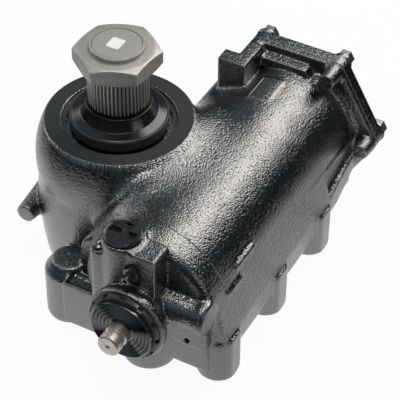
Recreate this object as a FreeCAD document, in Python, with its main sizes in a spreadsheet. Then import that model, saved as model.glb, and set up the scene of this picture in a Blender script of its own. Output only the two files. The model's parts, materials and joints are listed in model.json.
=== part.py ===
import FreeCAD, Part
import math
import os
import re
import Sketcher
from FreeCAD import Placement, Rotation, Vector

# Integral hydraulic steering gear for a heavy vehicle.
# Sizes are in millimetres and degrees. The gear stands on its mounting feet at z = 0 and
# the origin is the centre of the four corner foot holes. The sector shaft points up (+Z)
# and the piston slides along Y, from the input shaft at -Y to the rear cover at +Y.

SIZES = {
    # Main layout
    "foot_span_x": 186,
    "foot_span_y": 223,
    "sector_x": -100,
    "sector_y": 12.5,
    "piston_z": 97,
    "tower_top": 186.5,
    # Clearances
    "running_gap": 0.03,
    "seat_gap": 0.1,
    "free_gap": 0.4,
    # Cylinder and piston
    "bore_r": 60,
    "barrel_wall": 18,
    "barrel_end": 3,
    "barrel_end_r": 10,
    "bore_front": -137,
    "flange_front": 203,
    "flange_thick": 7,
    "flange_apothem": 95.5,
    "flange_corner_r": 14,
    "flange_boss_r": 12,
    "flange_boss_length": 20,
    "cover_thick": 15,
    "cover_spigot": 12,
    "cover_boss_r": 12.5,
    "cover_boss": 4,
    "cover_bolt_circle_r": 97,
    "cover_bolt_r": 6,
    "cover_washer_r": 10.4,
    "cover_washer": 2,
    "cover_head_af": 18,
    "cover_head_height": 9,
    "piston_front": -77.5,
    "piston_rear": 138.5,
    "piston_hollow_r": 44,
    "piston_hollow_depth": 59,
    "piston_skirt_start": 80,
    "piston_ring_at": 122,
    "piston_ring_width": 5,
    "piston_ring_depth": 4,
    "end_plug_thick": 8,
    # Rack and sector teeth
    "pitch_r": 74,
    "rack_inset": 12.5,
    "tooth_module": 8,
    "pressure_angle": 25,
    "tooth_addendum": 6,
    "tooth_clearance": 1.2,
    "tooth_backlash": 0.5,
    "gear_face": 70,
    # Ball screw
    "screw_lead": 22,
    "ball_circle_r": 18.6,
    "ball_r": 3.4,
    "groove_r": 3.7,
    "worm_r": 17.6,
    "nut_bore_r": 19.6,
    "screw_end": 35,
    "nut_start": -70,
    "nut_turns": 2,
    "nut_bore_end": 85,
    "worm_tip": 41,
    # Rotary valve
    "valve_bore_r": 30,
    "valve_bore_front": -172,
    "partition": 6,
    "worm_hole_r": 20.5,
    "worm_head_r": 27,
    "worm_head_length": 6,
    "thrust_thick": 5,
    "thrust_washer": 1.2,
    "thrust_outer_r": 29.5,
    "sleeve_length": 18,
    "spool_r": 16.5,
    "spool_slots": 6,
    "sleeve_ring_width": 2.4,
    "torsion_bar_r": 3.2,
    "torsion_bore_r": 4.2,
    # Input end
    "input_r": 12.7,
    "input_tip": -220.2,
    "input_head": 11,
    "input_neck": 5,
    "input_neck_r": 10.8,
    "input_chamfer": 1.5,
    "centre_drill_r": 1.6,
    "collar_r": 45,
    "collar_front": -184,
    "nose_r": 37,
    "adjuster_r": 38,
    "adjuster_rim_r": 41.5,
    "adjuster_rim_front": -190,
    "adjuster_notches": 12,
    "needle_r": 17,
    "input_seal_r": 20,
    "bellows_face": -195.5,
    "bellows_r": 36.5,
    "bellows_ridges": 5,
    # Sector shaft
    "journal_r": 36,
    "gear_hub_r": 45,
    "serration_r": 34,
    "serration_count": 48,
    "serration_depth": 1.9,
    "serration_rise": 3.2,
    "serration_length": 71,
    "shaft_thread_r": 27.5,
    "shaft_stand": 4.7,
    "lower_journal_r": 26,
    "upper_bearing_r": 43,
    "upper_bearing_bottom": 142,
    "upper_bearing_top": 160,
    "lower_bearing_r": 30,
    "lower_bearing_bottom": 42,
    "lower_hub_wall": 5,
    "seal_bore_r": 52,
    "seal_bottom": 166,
    "seal_top": 176,
    "top_recess_r": 64.3,
    "top_recess_depth": 9.5,
    "ring_groove_r": 66.8,
    "ring_section": 2.6,
    "nut_af": 85,
    "nut_height": 21.2,
    "nut_turn": 25.35,
    "nut_collar_r": 30,
    "nut_collar": 5,
    "boot_rim_r": 55.3,
    "boot_rim_rise": 7.9,
    "boot_neck_rise": 24.4,
    "label_width": 15.5,
    "label_length": 18,
    "label_thick": 0.3,
    "label_x": -1.3,
    "label_y": -0.7,
    "label_corner_r": 2,
    # Tower and bottom cover
    "tower_top_r": 84.8,
    "tower_belly_r": 92.7,
    "tower_waist_r": 88,
    "tower_foot": 4,
    "web_fall": 9.5,
    "web_run": 29.7,
    "web_bend_r": 52,
    "web_barrel_r": 92,
    "gear_chamber_r": 81,
    "cover_face": 13,
    "bottom_cover_thick": 12,
    "bottom_groove_r": 83.5,
    "bottom_ring_r": 74,
    "bottom_ring_thick": 2.9,
    "lash_screw_r": 7,
    "lash_nut_af": 22,
    "lash_nut_height": 6,
    "lash_neck_r": 5.8,
    "lash_head_r": 11,
    "shaft_bottom": 40,
    "retainer_length": 6,
    # Ports and limiter
    "port_x": -1.5,
    "port_y": -145,
    "port_r": 24,
    "port_top": 182,
    "port_plug_r": 21,
    "port_thread_r": 13,
    "port_passage_r": 7,
    "block_left": 12,
    "block_right": 46,
    "block_front": -165,
    "block_back": -134,
    "block_top": 180,
    "limiter_x": 20,
    "limiter_z": 155,
    "limiter_r": 5,
    "limiter_reach": 15,
    "limiter_nut_af": 17,
    "limiter_nut_height": 5,
    "return_z": 88,
    "return_y": 158,
    "return_face": -78,
    "nipple_x": -25.5,
    "nipple_y": -155.5,
    "nipple_r": 4,
    "nipple_seat": 164,
    "nipple_boss_r": 9.5,
    "cross_y": -143,
    "cross_z": 106,
    "cross_r": 18,
    "cross_start": 36,
    # Feet
    "foot_r": 24,
    "foot_flat": 21.8,
    "skirt_out": 17.5,
    "foot_ledge": 60,
    "left_foot_r": 28,
    "left_foot_top": 66,
    "middle_foot_x": 16.5,
    "middle_foot_y": -126,
    "middle_foot_r": 31,
    "foot_hole_r": 8.75,
    "foot_hole_depth": 42,
    "front_hole_depth": 28,
    "foot_edge": 6,
    "skirt_bottom": 36,
    "skirt_rear_bottom": 31,
    "skirt_wall": 16,
    "skirt_rear": 129,
    "ridge_x": -66,
    "ridge_top": 151,
    "ridge_rear": 190,
    "lug_top": 195,
}

# Sizes that follow from the ones above
PLACES = {
    "centre_distance": "pitch_r + bore_r - rack_inset",
    "piston_x": "sector_x + centre_distance",
    "barrel_r": "bore_r + barrel_wall",
    "foot_x": "foot_span_x / 2",
    "foot_y": "foot_span_y / 2",
    "flange_rear": "flange_front + flange_thick",
    "cover_rear": "flange_rear + cover_thick",
    "skirt_x": "piston_x + barrel_r + 2",
    "serration_bottom": "tower_top + serration_rise",
    "serration_top": "serration_bottom + serration_length",
    "nut_top": "serration_top + nut_height",
    "shaft_end": "nut_top + shaft_stand",
    "boot_rim_top": "tower_top + boot_rim_rise",
    "boot_neck_top": "tower_top + boot_neck_rise",
    "gear_bottom": "piston_z - gear_face / 2",
    "gear_top": "piston_z + gear_face / 2",
    "rack_tip": "centre_distance - pitch_r + tooth_addendum",
    "rack_root": "centre_distance - pitch_r - tooth_addendum - tooth_clearance",
    "sector_tip_r": "pitch_r + tooth_addendum",
    "sector_root_r": "pitch_r - tooth_addendum - tooth_clearance",
    "screw_start": "nut_start - 3 * screw_lead",
    "rear_thrust": "bore_front - partition - thrust_thick",
    "sleeve_rear": "rear_thrust - worm_head_length",
    "sleeve_front": "sleeve_rear - sleeve_length",
    "front_thrust": "sleeve_front - thrust_thick",
    "top_recess": "tower_top - top_recess_depth",
    "hub_r": "lower_bearing_r + lower_hub_wall",
    "bolt_seat": "cover_rear + cover_boss",
}

UP = Rotation()
BACK = Rotation(Vector(1, 0, 0), -90)
LEFT = Rotation(Vector(0, 1, 0), -90)
RIGHT = Rotation(Vector(0, 1, 0), 90)

# Each axis of the gear: a point on it, and the way its stations are counted
AXES = {
    "sector": (("sector_x", "sector_y", "0"), UP),
    "piston": (("piston_x", "0", "piston_z"), BACK),
    "port": (("port_x", "port_y", "0"), UP),
    "return": (("0", "return_y", "return_z"), LEFT),
    "cross": (("0", "cross_y", "cross_z"), RIGHT),
    "limiter": (("limiter_x", "0", "limiter_z"), BACK),
    "nipple": (("nipple_x", "nipple_y", "0"), UP),
}

doc = FreeCAD.newDocument("SteeringGear")
sheet = doc.addObject("Spreadsheet::Sheet", "Sizes")
WORD = re.compile(r"[A-Za-z_][A-Za-z_0-9]*")


def fill_sheet():
    for row, (name, size) in enumerate(SIZES.items(), 1):
        sheet.set(f"A{row}", name)
        sheet.set(f"B{row}", str(size))
        sheet.setAlias(f"B{row}", name)
    doc.recompute()


def formula(text):
    """Write an expression on the sheet's cells in place of the names in the text."""
    def swap(word):
        name = word[0]
        if name in PLACES:
            return "(" + formula(PLACES[name]) + ")"
        return "Sizes." + name if name in SIZES else name
    return WORD.sub(swap, str(text))


def value(text):
    found = sheet.evalExpression(formula(text))
    return float(getattr(found, "Value", found))


def bind(thing, prop, text):
    thing.setExpression(prop, formula(text))


def place(thing, at, turn):
    thing.Placement = Placement(Vector(*(value(c) for c in at)), turn)
    for letter, text in zip("xyz", at):
        bind(thing, f"Placement.Base.{letter}", text)


# Sketch tools

def new_sketch(body, name, role, lift="0"):
    sketch = body.newObject("Sketcher::SketchObject", name)
    plane = next(f for f in body.Origin.OriginFeatures if f.Role == role)
    sketch.AttachmentSupport = [(plane, "")]
    sketch.MapMode = "FlatFace"
    bind(sketch, "AttachmentOffset.Base.z", lift)
    return sketch


def hold_point(sketch, item, end, corner):
    for kind, text in zip(("DistanceX", "DistanceY"), corner):
        index = sketch.addConstraint(Sketcher.Constraint(kind, -1, 1, item, end, value(text)))
        bind(sketch, f"Constraints[{index}]", text)


def add_side(sketch, start, end, radius):
    """Add a line, or an arc when the side has a radius; give back its two end numbers.

    The arc's centre lies to the left of the way from start to end, or to the right when
    the radius is negative.
    """
    if not radius:
        return sketch.addGeometry(Part.LineSegment(start, end), False), 1, 2
    size = value(radius)
    chord = end - start
    left = Vector(-chord.y, chord.x, 0).normalize()
    reach = math.sqrt(size * size - chord.Length ** 2 / 4)
    centre = (start + end) / 2 + left * math.copysign(reach, size)
    angles = [math.atan2(p.y - centre.y, p.x - centre.x) for p in (start, end)]
    ends = (1, 2)
    if size < 0:
        angles.reverse()
        ends = (2, 1)
    whole = Part.Circle(centre, Vector(0, 0, 1), abs(size))
    item = sketch.addGeometry(Part.ArcOfCircle(whole, *angles), False)
    index = sketch.addConstraint(Sketcher.Constraint("Radius", item, abs(size)))
    bind(sketch, f"Constraints[{index}]", f"abs({radius})")
    return item, *ends


def outline(sketch, corners):
    """Draw a closed outline: each corner is an (x, y) pair of expressions.

    A third one makes the side after the corner an arc of that radius.
    """
    points = [Vector(value(corner[0]), value(corner[1]), 0) for corner in corners]
    count = len(corners)
    sides = []
    for i, corner in enumerate(corners):
        radius = corner[2] if len(corner) > 2 else None
        sides.append(add_side(sketch, points[i], points[(i + 1) % count], radius))
    for i, (item, _, end) in enumerate(sides):
        follower, start, _ = sides[(i + 1) % count]
        sketch.addConstraint(Sketcher.Constraint("Coincident", item, end, follower, start))
    for corner, (item, start, _) in zip(corners, sides):
        hold_point(sketch, item, start, corner[:2])


def circle(sketch, x, y, radius):
    centre = Vector(value(x), value(y), 0)
    item = sketch.addGeometry(Part.Circle(centre, Vector(0, 0, 1), value(radius)), False)
    index = sketch.addConstraint(Sketcher.Constraint("Radius", item, value(radius)))
    bind(sketch, f"Constraints[{index}]", radius)
    hold_point(sketch, item, 3, (x, y))


def hexagon(across_flats, turn="0"):
    """Corners of a hexagon about the sketch origin; turn is the first corner's angle."""
    return [
        (f"({across_flats}) / sqrt(3) * cos({turn} + {60 * k})",
         f"({across_flats}) / sqrt(3) * sin({turn} + {60 * k})")
        for k in range(6)
    ]


# Body tools: stations are counted along the axis that the body is placed on

def new_body(label, axis):
    body = doc.addObject("PartDesign::Body", label)
    body.Label = label
    at, turn = AXES[axis]
    place(body, at, turn)
    return body


def revolve(body, corners, name="turned"):
    """Turn an outline of (radius, station) corners about the body's axis."""
    sketch = new_sketch(body, name + "_profile", "XZ_Plane")
    outline(sketch, corners)
    feature = body.newObject("PartDesign::Revolution", name)
    feature.Profile = (sketch, [""])
    feature.ReferenceAxis = (sketch, ["V_Axis"])
    feature.Angle = 360
    return feature


def groove(body, corners, name):
    """Turn an outline of (radius, station) corners out of the body."""
    sketch = new_sketch(body, name + "_profile", "XZ_Plane")
    outline(sketch, corners)
    doc.recompute()
    before = body.Shape.Volume
    feature = body.newObject("PartDesign::Groove", name)
    feature.Profile = (sketch, [""])
    feature.ReferenceAxis = (sketch, ["V_Axis"])
    feature.Angle = 360
    check_cut(body, before, name)
    return feature


def pad(body, name, draw, station, length):
    sketch = new_sketch(body, name + "_sketch", "XY_Plane", station)
    draw(sketch)
    feature = body.newObject("PartDesign::Pad", name)
    feature.Profile = (sketch, [""])
    bind(feature, "Length", length)
    return feature


def pocket(body, name, draw, station, depth):
    """Cut a drawn shape into the body, from a station towards lower ones."""
    sketch = new_sketch(body, name + "_sketch", "XY_Plane", station)
    draw(sketch)
    doc.recompute()
    before = body.Shape.Volume
    feature = body.newObject("PartDesign::Pocket", name)
    feature.Profile = (sketch, [""])
    bind(feature, "Length", depth)
    check_cut(body, before, name)
    return feature


def check_cut(body, before, name):
    doc.recompute()
    if body.Shape.Volume >= before - 1e-3:
        raise ValueError(f"{body.Label}: {name} cuts nothing")


def repeat(body, feature, count):
    """Repeat a feature round the body's axis."""
    pattern = body.newObject("PartDesign::PolarPattern", feature.Name + "_ring")
    pattern.Originals = [feature]
    pattern.Axis = (feature.Profile[0], ["N_Axis"])
    pattern.Angle = 360
    bind(pattern, "Occurrences", count)
    body.Tip = pattern
    return pattern


def edges_where(shape, keep):
    return [f"Edge{i}" for i, edge in enumerate(shape.Edges, 1) if keep(edge)]


def ring(label, axis, inner, outer, start, end):
    """A plain ring between two stations, such as a bearing race or a seal."""
    body = new_body(label, axis)
    corners = [(inner, start), (outer, start), (outer, end), (inner, end)]
    revolve(body, corners)
    return body


# Primitive tools for the castings

def cylinder(name, radius, length, at, turn=UP):
    item = doc.addObject("Part::Cylinder", name)
    bind(item, "Radius", radius)
    bind(item, "Height", length)
    place(item, at, turn)
    return item


def cone(name, radius, end_radius, length, at, turn=UP):
    item = doc.addObject("Part::Cone", name)
    bind(item, "Radius1", radius)
    bind(item, "Radius2", end_radius)
    bind(item, "Height", length)
    place(item, at, turn)
    return item


def block(name, low, high):
    """A box between two corners, each given as three expressions."""
    item = doc.addObject("Part::Box", name)
    for prop, a, b in zip(("Length", "Width", "Height"), low, high):
        bind(item, prop, f"({b}) - ({a})")
    place(item, low, UP)
    return item


def fuse(name, items):
    item = doc.addObject("Part::MultiFuse", name)
    item.Shapes = items
    item.Refine = True
    return item


def cut(name, base, tool):
    item = doc.addObject("Part::Cut", name)
    item.Base = base
    item.Tool = tool
    item.Refine = True
    return item


def common(name, items):
    item = doc.addObject("Part::MultiCommon", name)
    item.Shapes = items
    return item


def prism(name, corners, role, depth, at):
    """A straight-sided block: an outline on an origin plane, pushed out by a depth."""
    body = doc.addObject("PartDesign::Body", name)
    sketch = new_sketch(body, name + "_sketch", role)
    outline(sketch, corners)
    feature = body.newObject("PartDesign::Pad", name + "_pad")
    feature.Profile = (sketch, [""])
    bind(feature, "Length", depth)
    place(body, at, UP)
    return body


# Housing casting

def tower_form():
    """The sector tower: a swelling casting round the sector shaft."""
    body = new_body("tower_form", "sector")
    revolve(body, [
        ("0", "tower_foot"),
        ("tower_waist_r - 3", "tower_foot"),
        ("tower_waist_r", "tower_foot + 4", "424"),
        ("tower_belly_r", "tower_top - 68", "100"),
        ("tower_top_r", "tower_top - 2"),
        ("tower_top_r - 1.5", "tower_top"),
        ("0", "tower_top"),
    ])
    return body


def barrel_form():
    """The cylinder barrel: a flat front end, and a neck that widens into the flange."""
    body = new_body("barrel_form", "piston")
    front = "bore_front - barrel_end"
    revolve(body, [
        ("0", front),
        ("barrel_r - barrel_end_r", front, "barrel_end_r"),
        ("barrel_r", f"{front} + barrel_end_r"),
        ("barrel_r", "flange_front - 9", "-9"),
        ("barrel_r + 9", "flange_front"),
        ("0", "flange_front"),
    ])
    return body


def web_form():
    """The smooth web between the tower's top and the barrel, kept close to the barrel."""
    skirt = new_body("web_skirt", "sector")
    revolve(skirt, [
        ("tower_top_r - 30", "tower_top - 90"),
        ("tower_top_r + 66", "tower_top - 90"),
        ("tower_top_r + 48", "tower_top - 36"),
        ("tower_top_r + web_run", "tower_top - 2 - web_fall", "-web_bend_r"),
        ("tower_top_r", "tower_top - 2"),
        ("tower_top_r - 30", "tower_top - 2"),
    ])
    limits = cylinder("web_limits", "web_barrel_r", "240", ("piston_x", "-100", "piston_z"), BACK)
    return common("web_form", [skirt, limits])


def ridge_form():
    """The upright wall on the barrel's left side, rounded over at its top."""
    return prism("ridge_form", [
        ("ridge_x", "62"), ("-30", "40"), ("piston_x", "40"), ("piston_x", "piston_z + 70"),
        ("-20", "ridge_top + 12"), ("ridge_x + 15", "ridge_top", "22"),
        ("ridge_x", "ridge_top - 18"),
    ], "XZ_Plane", "ridge_rear - sector_y", ("0", "ridge_rear", "0"))


def flange_form():
    """The hexagonal rear flange with rounded corners."""
    body = new_body("flange_form", "piston")

    def draw(sketch):
        outline(sketch, hexagon("2 * flange_apothem"))

    plate = pad(body, "flange_plate", draw, "flange_front", "flange_thick")
    doc.recompute()
    fillet = body.newObject("PartDesign::Fillet", "flange_corners")
    fillet.Base = (plate, edges_where(plate.Shape, is_along_z))
    bind(fillet, "Radius", "flange_corner_r")
    return body


def is_along_z(edge):
    ends = [v.Point for v in edge.Vertexes]
    return len(ends) == 2 and math.hypot(ends[0].x - ends[1].x, ends[0].y - ends[1].y) < 1e-6


def on_cover_circle(k, y):
    """A point of the k-th cover bolt's axis."""
    return (f"piston_x + cover_bolt_circle_r * cos({60 * k})", y,
            f"piston_z + cover_bolt_circle_r * sin({60 * k})")


def flange_bosses():
    """The bosses in front of the flange that the cover bolts screw into."""
    return [
        cone(f"flange_boss_{k}", "flange_boss_r - 2", "flange_boss_r", "flange_boss_length + 2",
             on_cover_circle(k, "flange_front - flange_boss_length"), BACK)
        for k in range(6)
    ]


def flange_lip():
    """The heavy cast lip under the flange's top edge, and the round stub beside it."""
    lip = prism("flange_lip", [
        ("-18", "piston_z + 74"), ("44", "piston_z + 68"), ("48", "piston_z + 75"),
        ("41", "piston_z + 86"), ("-14", "piston_z + 86"), ("-20", "piston_z + 80"),
    ], "XZ_Plane", "15", ("0", "flange_front + 1", "0"))
    return [lip, cone("lip_stub", "7", "9", "20", ("54", "flange_front - 18", "166"), BACK)]


def nose_form():
    """The round nose that holds the rotary valve, with a thick rim at its mouth."""
    body = new_body("nose_form", "piston")
    revolve(body, [
        ("0", "collar_front"),
        ("collar_r - 3", "collar_front", "3"),
        ("collar_r", "collar_front + 3"),
        ("collar_r", "collar_front + 9"),
        ("nose_r", "collar_front + 21", "-40"),
        ("nose_r", "bore_front"),
        ("0", "bore_front"),
    ])
    return body


def port_forms():
    """The port column with its low shoulder, and the square block beside it."""
    column = cylinder("port_column", "port_r", "port_top - 70", ("port_x", "port_y", "70"))
    shoulder = cylinder("nipple_boss", "nipple_boss_r", "nipple_seat - 70",
                        ("nipple_x", "nipple_y", "70"))
    web = block("port_web", ("nipple_x", "nipple_y - nipple_boss_r", "70"),
                ("block_right - 6", "nipple_y + nipple_boss_r + 12", "nipple_seat"))
    square = block("port_block", ("block_left", "block_front", "piston_z"),
                   ("block_right", "block_back", "block_top"))
    boss = cylinder("return_boss", "port_r - 5", "ridge_x - return_face + 8",
                    ("ridge_x + 8", "return_y", "return_z"), LEFT)
    return [column, shoulder, web, square, boss]


def front_forms():
    """The tubular cross boss, the drilled pad and the walls between the front feet."""
    tube = new_body("cross_boss", "cross")
    revolve(tube, [
        ("0", "cross_start"),
        ("cross_r", "cross_start"),
        ("cross_r", "skirt_x - 16"),
        ("cross_r + 2", "skirt_x - 11"),
        ("cross_r + 2", "skirt_x - 7", "5"),
        ("cross_r - 3", "skirt_x - 2"),
        ("0", "skirt_x - 2"),
    ])
    return [
        tube,
        block("drilled_pad", ("56", "bore_front - 14", "62"), ("97", "bore_front + 10", "89")),
        block("front_wall", ("cross_start - 16", "bore_front - 5", "22"),
              ("skirt_x - 6", "bore_front + 12", "piston_z")),
        block("left_box", ("-83", "-144.5", "14"), ("20", "-119", "74")),
        block("left_box_foot", ("-78", "-130", "14"), ("20", "-100", "66")),
        prism("front_shoulder", [
            ("-78", "14"), ("20", "14"), ("20", "140"), ("-34", "140", "44"), ("-78", "96"),
        ], "XZ_Plane", "72", ("0", "-40", "0")),
        block("front_left_web", ("-foot_x - 20", "-foot_y", "10"), ("-foot_x + 30", "-50", "64")),
    ]


def foot_form(name, x, y, radius, top, shoulder):
    """A round mounting foot: rounded below, with a sloping shoulder above."""
    AXES[name] = ((x, y, "0"), UP)
    body = new_body(name, name)
    revolve(body, [
        ("0", "0"),
        (f"{radius} - foot_edge", "0", "foot_edge"),
        (radius, "foot_edge"),
        (radius, top),
        (f"{radius} - {shoulder} * 0.7", f"({top}) + {shoulder}"),
        ("0", f"({top}) + {shoulder}"),
    ])
    return body


def side_feet():
    """The three feet along the right side, flat outside, each ending in a small ledge."""
    feet = []
    for k, name in enumerate(("front_right", "middle_right", "rear_right")):
        y = f"foot_y * {k - 1}"
        post = foot_form(name + "_foot", "foot_x", y, "foot_r", "foot_ledge - 2", "2")
        limits = block(name + "_limits", ("foot_x - 2 * foot_r", f"{y} - 2 * foot_r", "-1"),
                       ("foot_x + foot_flat", f"{y} + 2 * foot_r", "foot_ledge + 1"))
        feet.append(common(name + "_post", [post, limits]))
    return feet


def left_feet():
    """The feet under the front and on the left, with the arm that carries the rear one."""
    return [
        foot_form("front_left_foot", "-foot_x", "-foot_y", "left_foot_r", "left_foot_top", "13"),
        foot_form("middle_foot", "middle_foot_x", "middle_foot_y", "middle_foot_r", "54", "12"),
        foot_form("rear_left_foot", "-foot_x", "foot_y", "foot_r", "left_foot_top - 4", "12"),
        prism("rear_left_arm", [
            ("-foot_x - foot_r + 6", "10"), ("-foot_x + foot_r", "10"), ("-10", "34"),
            ("-10", "130"), ("ridge_x + 4", "130"), ("-foot_x - foot_r + 10", "66"),
        ], "XZ_Plane", "foot_r * 1.5", ("0", "foot_y + foot_r * 0.75", "0")),
    ]


def skirt_forms():
    """The side wall that slopes from the barrel out to the right feet, and its gusset."""
    return [
        prism("right_skirt", [
            ("piston_x + 30", "skirt_bottom"), ("foot_x + skirt_out", "skirt_bottom"),
            ("foot_x + skirt_out", "foot_ledge + 2"),
            ("piston_x + barrel_r * sin(76)", "piston_z + barrel_r * cos(76)"),
            ("piston_x + 30", "piston_z + 10"),
        ], "XZ_Plane", "skirt_rear - bore_front - 8", ("0", "skirt_rear", "0")),
        prism("rear_skirt", [
            ("foot_y - 20", "skirt_rear_bottom - 8"), ("flange_front", "skirt_rear_bottom"),
            ("flange_front", "piston_z + 4"), ("foot_y - 20", "piston_z + 4"),
        ], "YZ_Plane", "skirt_wall", ("skirt_x - skirt_wall", "0", "0")),
        block("right_fill", ("piston_x + 24", "bore_front + 4", "piston_z - barrel_r + 10"),
              ("skirt_x - 1", "flange_front", "piston_z")),
        prism("rear_gusset", [
            ("flange_front", "84"), ("foot_y + 46", "71"), ("foot_y + 22", "60"),
            ("foot_y + 12", "34"), ("foot_y + 44", "37"), ("flange_front", "62"),
        ], "YZ_Plane", "16", ("skirt_x - 9", "0", "0")),
    ]


def top_forms():
    """The lifting lug, the framed pad, the locating bars and the side stub."""
    lug = prism("lifting_lug", [
        ("-51", "149"), ("-16", "149"), ("-16", "193"), ("-20", "197"), ("-29", "197"),
        ("-33", "193"), ("-33", "169"), ("-51", "169"),
    ], "XY_Plane", "lug_top - ridge_top + 6", ("0", "0", "ridge_top - 6"))
    pad_block = block("framed_pad_block", ("-1", "128", "piston_z"), ("24", "169", "piston_z + 90"))
    pad_round = cylinder("framed_pad_round", "barrel_r + 2", "60", ("piston_x", "120", "piston_z"),
                         BACK)
    stub = cone("side_stub", "11.2", "18", "74", ("sector_x - 82.7", "sector_y - 77.4", "64.6"), BACK)
    bars = [
        cylinder("upper_bar", "4", "39", ("piston_x + barrel_r - 5", "-78", "piston_z + 28"), BACK),
        cylinder("lower_bar", "3.5", "29", ("piston_x + barrel_r - 1", "-103", "piston_z + 12"),
                 BACK),
    ]
    return [lug, common("framed_pad", [pad_block, pad_round]), stub] + bars


def bore(name, axis, radius, start, end):
    """A straight hole along one of the gear's axes, between two stations."""
    body = new_body(name, axis)
    revolve(body, [("0", start), (radius, start), (radius, end), ("0", end)])
    return body


def housing_bores():
    """Everything that is machined out of the casting."""
    rear = "bore_front - partition"
    tools = [
        block("left_box_hollow", ("-79.5", "-141", "69"), ("-28", "-122.5", "75")),
        bore("cylinder_bore", "piston", "bore_r", "bore_front", "flange_rear + 1"),
        bore("worm_hole", "piston", "worm_hole_r", f"{rear} - 1", "bore_front + 1"),
        bore("valve_bore", "piston", "valve_bore_r", "valve_bore_front - 1", rear),
        bore("adjuster_bore", "piston", "adjuster_r", "collar_front - 1", "valve_bore_front"),
        bore("gear_chamber", "sector", "gear_chamber_r", "tower_foot - 1", "gear_top + 6"),
        bore("bottom_groove", "sector", "bottom_groove_r", "cover_face - 0.2 - bottom_ring_thick",
             "cover_face"),
        bore("bearing_bore", "sector", "upper_bearing_r", "gear_top + 5", "seal_bottom - 5"),
        bore("seal_bore", "sector", "seal_bore_r", "seal_bottom - 6", "top_recess + 1"),
        bore("top_recess_bore", "sector", "top_recess_r", "top_recess", "tower_top + 1"),
        bore("ring_groove", "sector", "ring_groove_r", "top_recess + 2",
             "top_recess + 2 + ring_section"),
        bore("port_spotface", "port", "port_plug_r + 1", "port_top", "port_top + 32"),
        bore("port_thread", "port", "port_thread_r", "port_top - 22", "port_top + 1"),
        bore("port_passage", "port", "port_passage_r", "piston_z + 20", "port_top - 21"),
        bore("return_thread", "return", "port_thread_r", "-return_face - 18", "-return_face + 1"),
        bore("limiter_bore", "limiter", "limiter_r", "block_front - 1", "bore_front + 1"),
        bore("nipple_bore", "nipple", "nipple_r", "nipple_seat - 16", "nipple_seat + 1"),
        bore("nipple_spotface", "nipple", "nipple_r + 2.2", "nipple_seat", "port_top + 1"),
        cylinder("pad_hole", "3", "14", ("75.5", "bore_front - 15", "69"), BACK),
    ]
    return tools + foot_holes() + cover_bolt_holes()


def foot_holes():
    spots = [("foot_x", f"foot_y * {k}", "foot_hole_depth") for k in (-1, 0, 1)]
    spots += [
        ("-foot_x", "-foot_y", "foot_hole_depth"), ("-foot_x", "foot_y", "foot_hole_depth"),
        ("middle_foot_x", "middle_foot_y", "front_hole_depth"),
    ]
    return [
        cylinder(f"foot_hole_{k}", "foot_hole_r", f"{depth} + 1", (x, y, "-1"))
        for k, (x, y, depth) in enumerate(spots)
    ]


def cover_bolt_holes():
    depth = "flange_thick + flange_boss_length - 4"
    return [
        cylinder(f"cover_bolt_hole_{k}", "cover_bolt_r", f"{depth} + 1",
                 on_cover_circle(k, f"flange_rear - ({depth})"), BACK)
        for k in range(6)
    ]


def housing():
    forms = [tower_form(), barrel_form(), web_form(), ridge_form(), flange_form(), nose_form()]
    forms += flange_bosses() + flange_lip() + port_forms() + front_forms() + side_feet()
    forms += left_feet() + skirt_forms() + top_forms()
    casting = fuse("casting", forms)
    bores = fuse("bores", housing_bores())
    shell = cut("housing", casting, bores)
    shell.Label = "housing"
    return shell


# Rear cover

def rear_cover():
    body = new_body("rear_cover", "piston")

    def plate(sketch):
        outline(sketch, hexagon("2 * flange_apothem"))

    def bolt_boss(sketch):
        circle(sketch, "cover_bolt_circle_r", "0", "cover_boss_r")

    def bolt_hole(sketch):
        circle(sketch, "cover_bolt_circle_r", "0", "cover_bolt_r + seat_gap * 3")

    base = pad(body, "cover_plate", plate, "flange_rear", "cover_thick")
    doc.recompute()
    fillet = body.newObject("PartDesign::Fillet", "cover_corners")
    fillet.Base = (base, edges_where(base.Shape, is_along_z))
    bind(fillet, "Radius", "flange_corner_r")
    boss = pad(body, "cover_boss", bolt_boss, "cover_rear - 1", "cover_boss + 1")
    repeat(body, boss, "6")
    revolve(body, [
        ("bore_r - 16", "flange_rear - cover_spigot"),
        ("bore_r - seat_gap", "flange_rear - cover_spigot"),
        ("bore_r - seat_gap", "flange_rear + 1"),
        ("bore_r - 16", "flange_rear + 1"),
    ], "spigot")
    groove(body, [
        ("bore_r - 4", "flange_rear - 7.5"),
        ("bore_r + 1", "flange_rear - 7.5"),
        ("bore_r + 1", "flange_rear - 3.5"),
        ("bore_r - 4", "flange_rear - 3.5"),
    ], "seal_groove")
    groove(body, [
        ("0", "cover_rear - 4"),
        ("bore_r - 8", "cover_rear - 4"),
        ("bore_r - 4", "cover_rear + 1"),
        ("0", "cover_rear + 1"),
    ], "outer_dish")
    hole = pocket(body, "cover_hole", bolt_hole, "bolt_seat + 1", "cover_thick + cover_boss + 2")
    repeat(body, hole, "6")
    return body


def bolt_group(label, count, circle_r, first_angle, axis, profile, head):
    """Identical bolts on a circle: one turned bolt with a hexagon head, copied round."""
    shapes = []
    shank = Part.makePolygon([Vector(r, 0, z) for r, z in profile + profile[:1]])
    shank = Part.Face(shank).revolve(Vector(), Vector(0, 0, 1), 360)
    if head:
        af, low, high = head
        corners = [Vector(af / math.sqrt(3), 0, low)]
        turn = Rotation(Vector(0, 0, 1), 60)
        for _ in range(6):
            corners.append(turn.multVec(corners[-1]))
        hexagon_head = Part.Face(Part.makePolygon(corners)).extrude(Vector(0, 0, high - low))
        shank = shank.fuse(hexagon_head).removeSplitter()
    for k in range(count):
        angle = math.radians(first_angle + 360 / count * k)
        bolt = shank.copy()
        bolt.translate(Vector(circle_r * math.cos(angle), circle_r * math.sin(angle), 0))
        shapes.append(bolt)
    return shape_piece(label, Part.makeCompound(shapes), axis)


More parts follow.
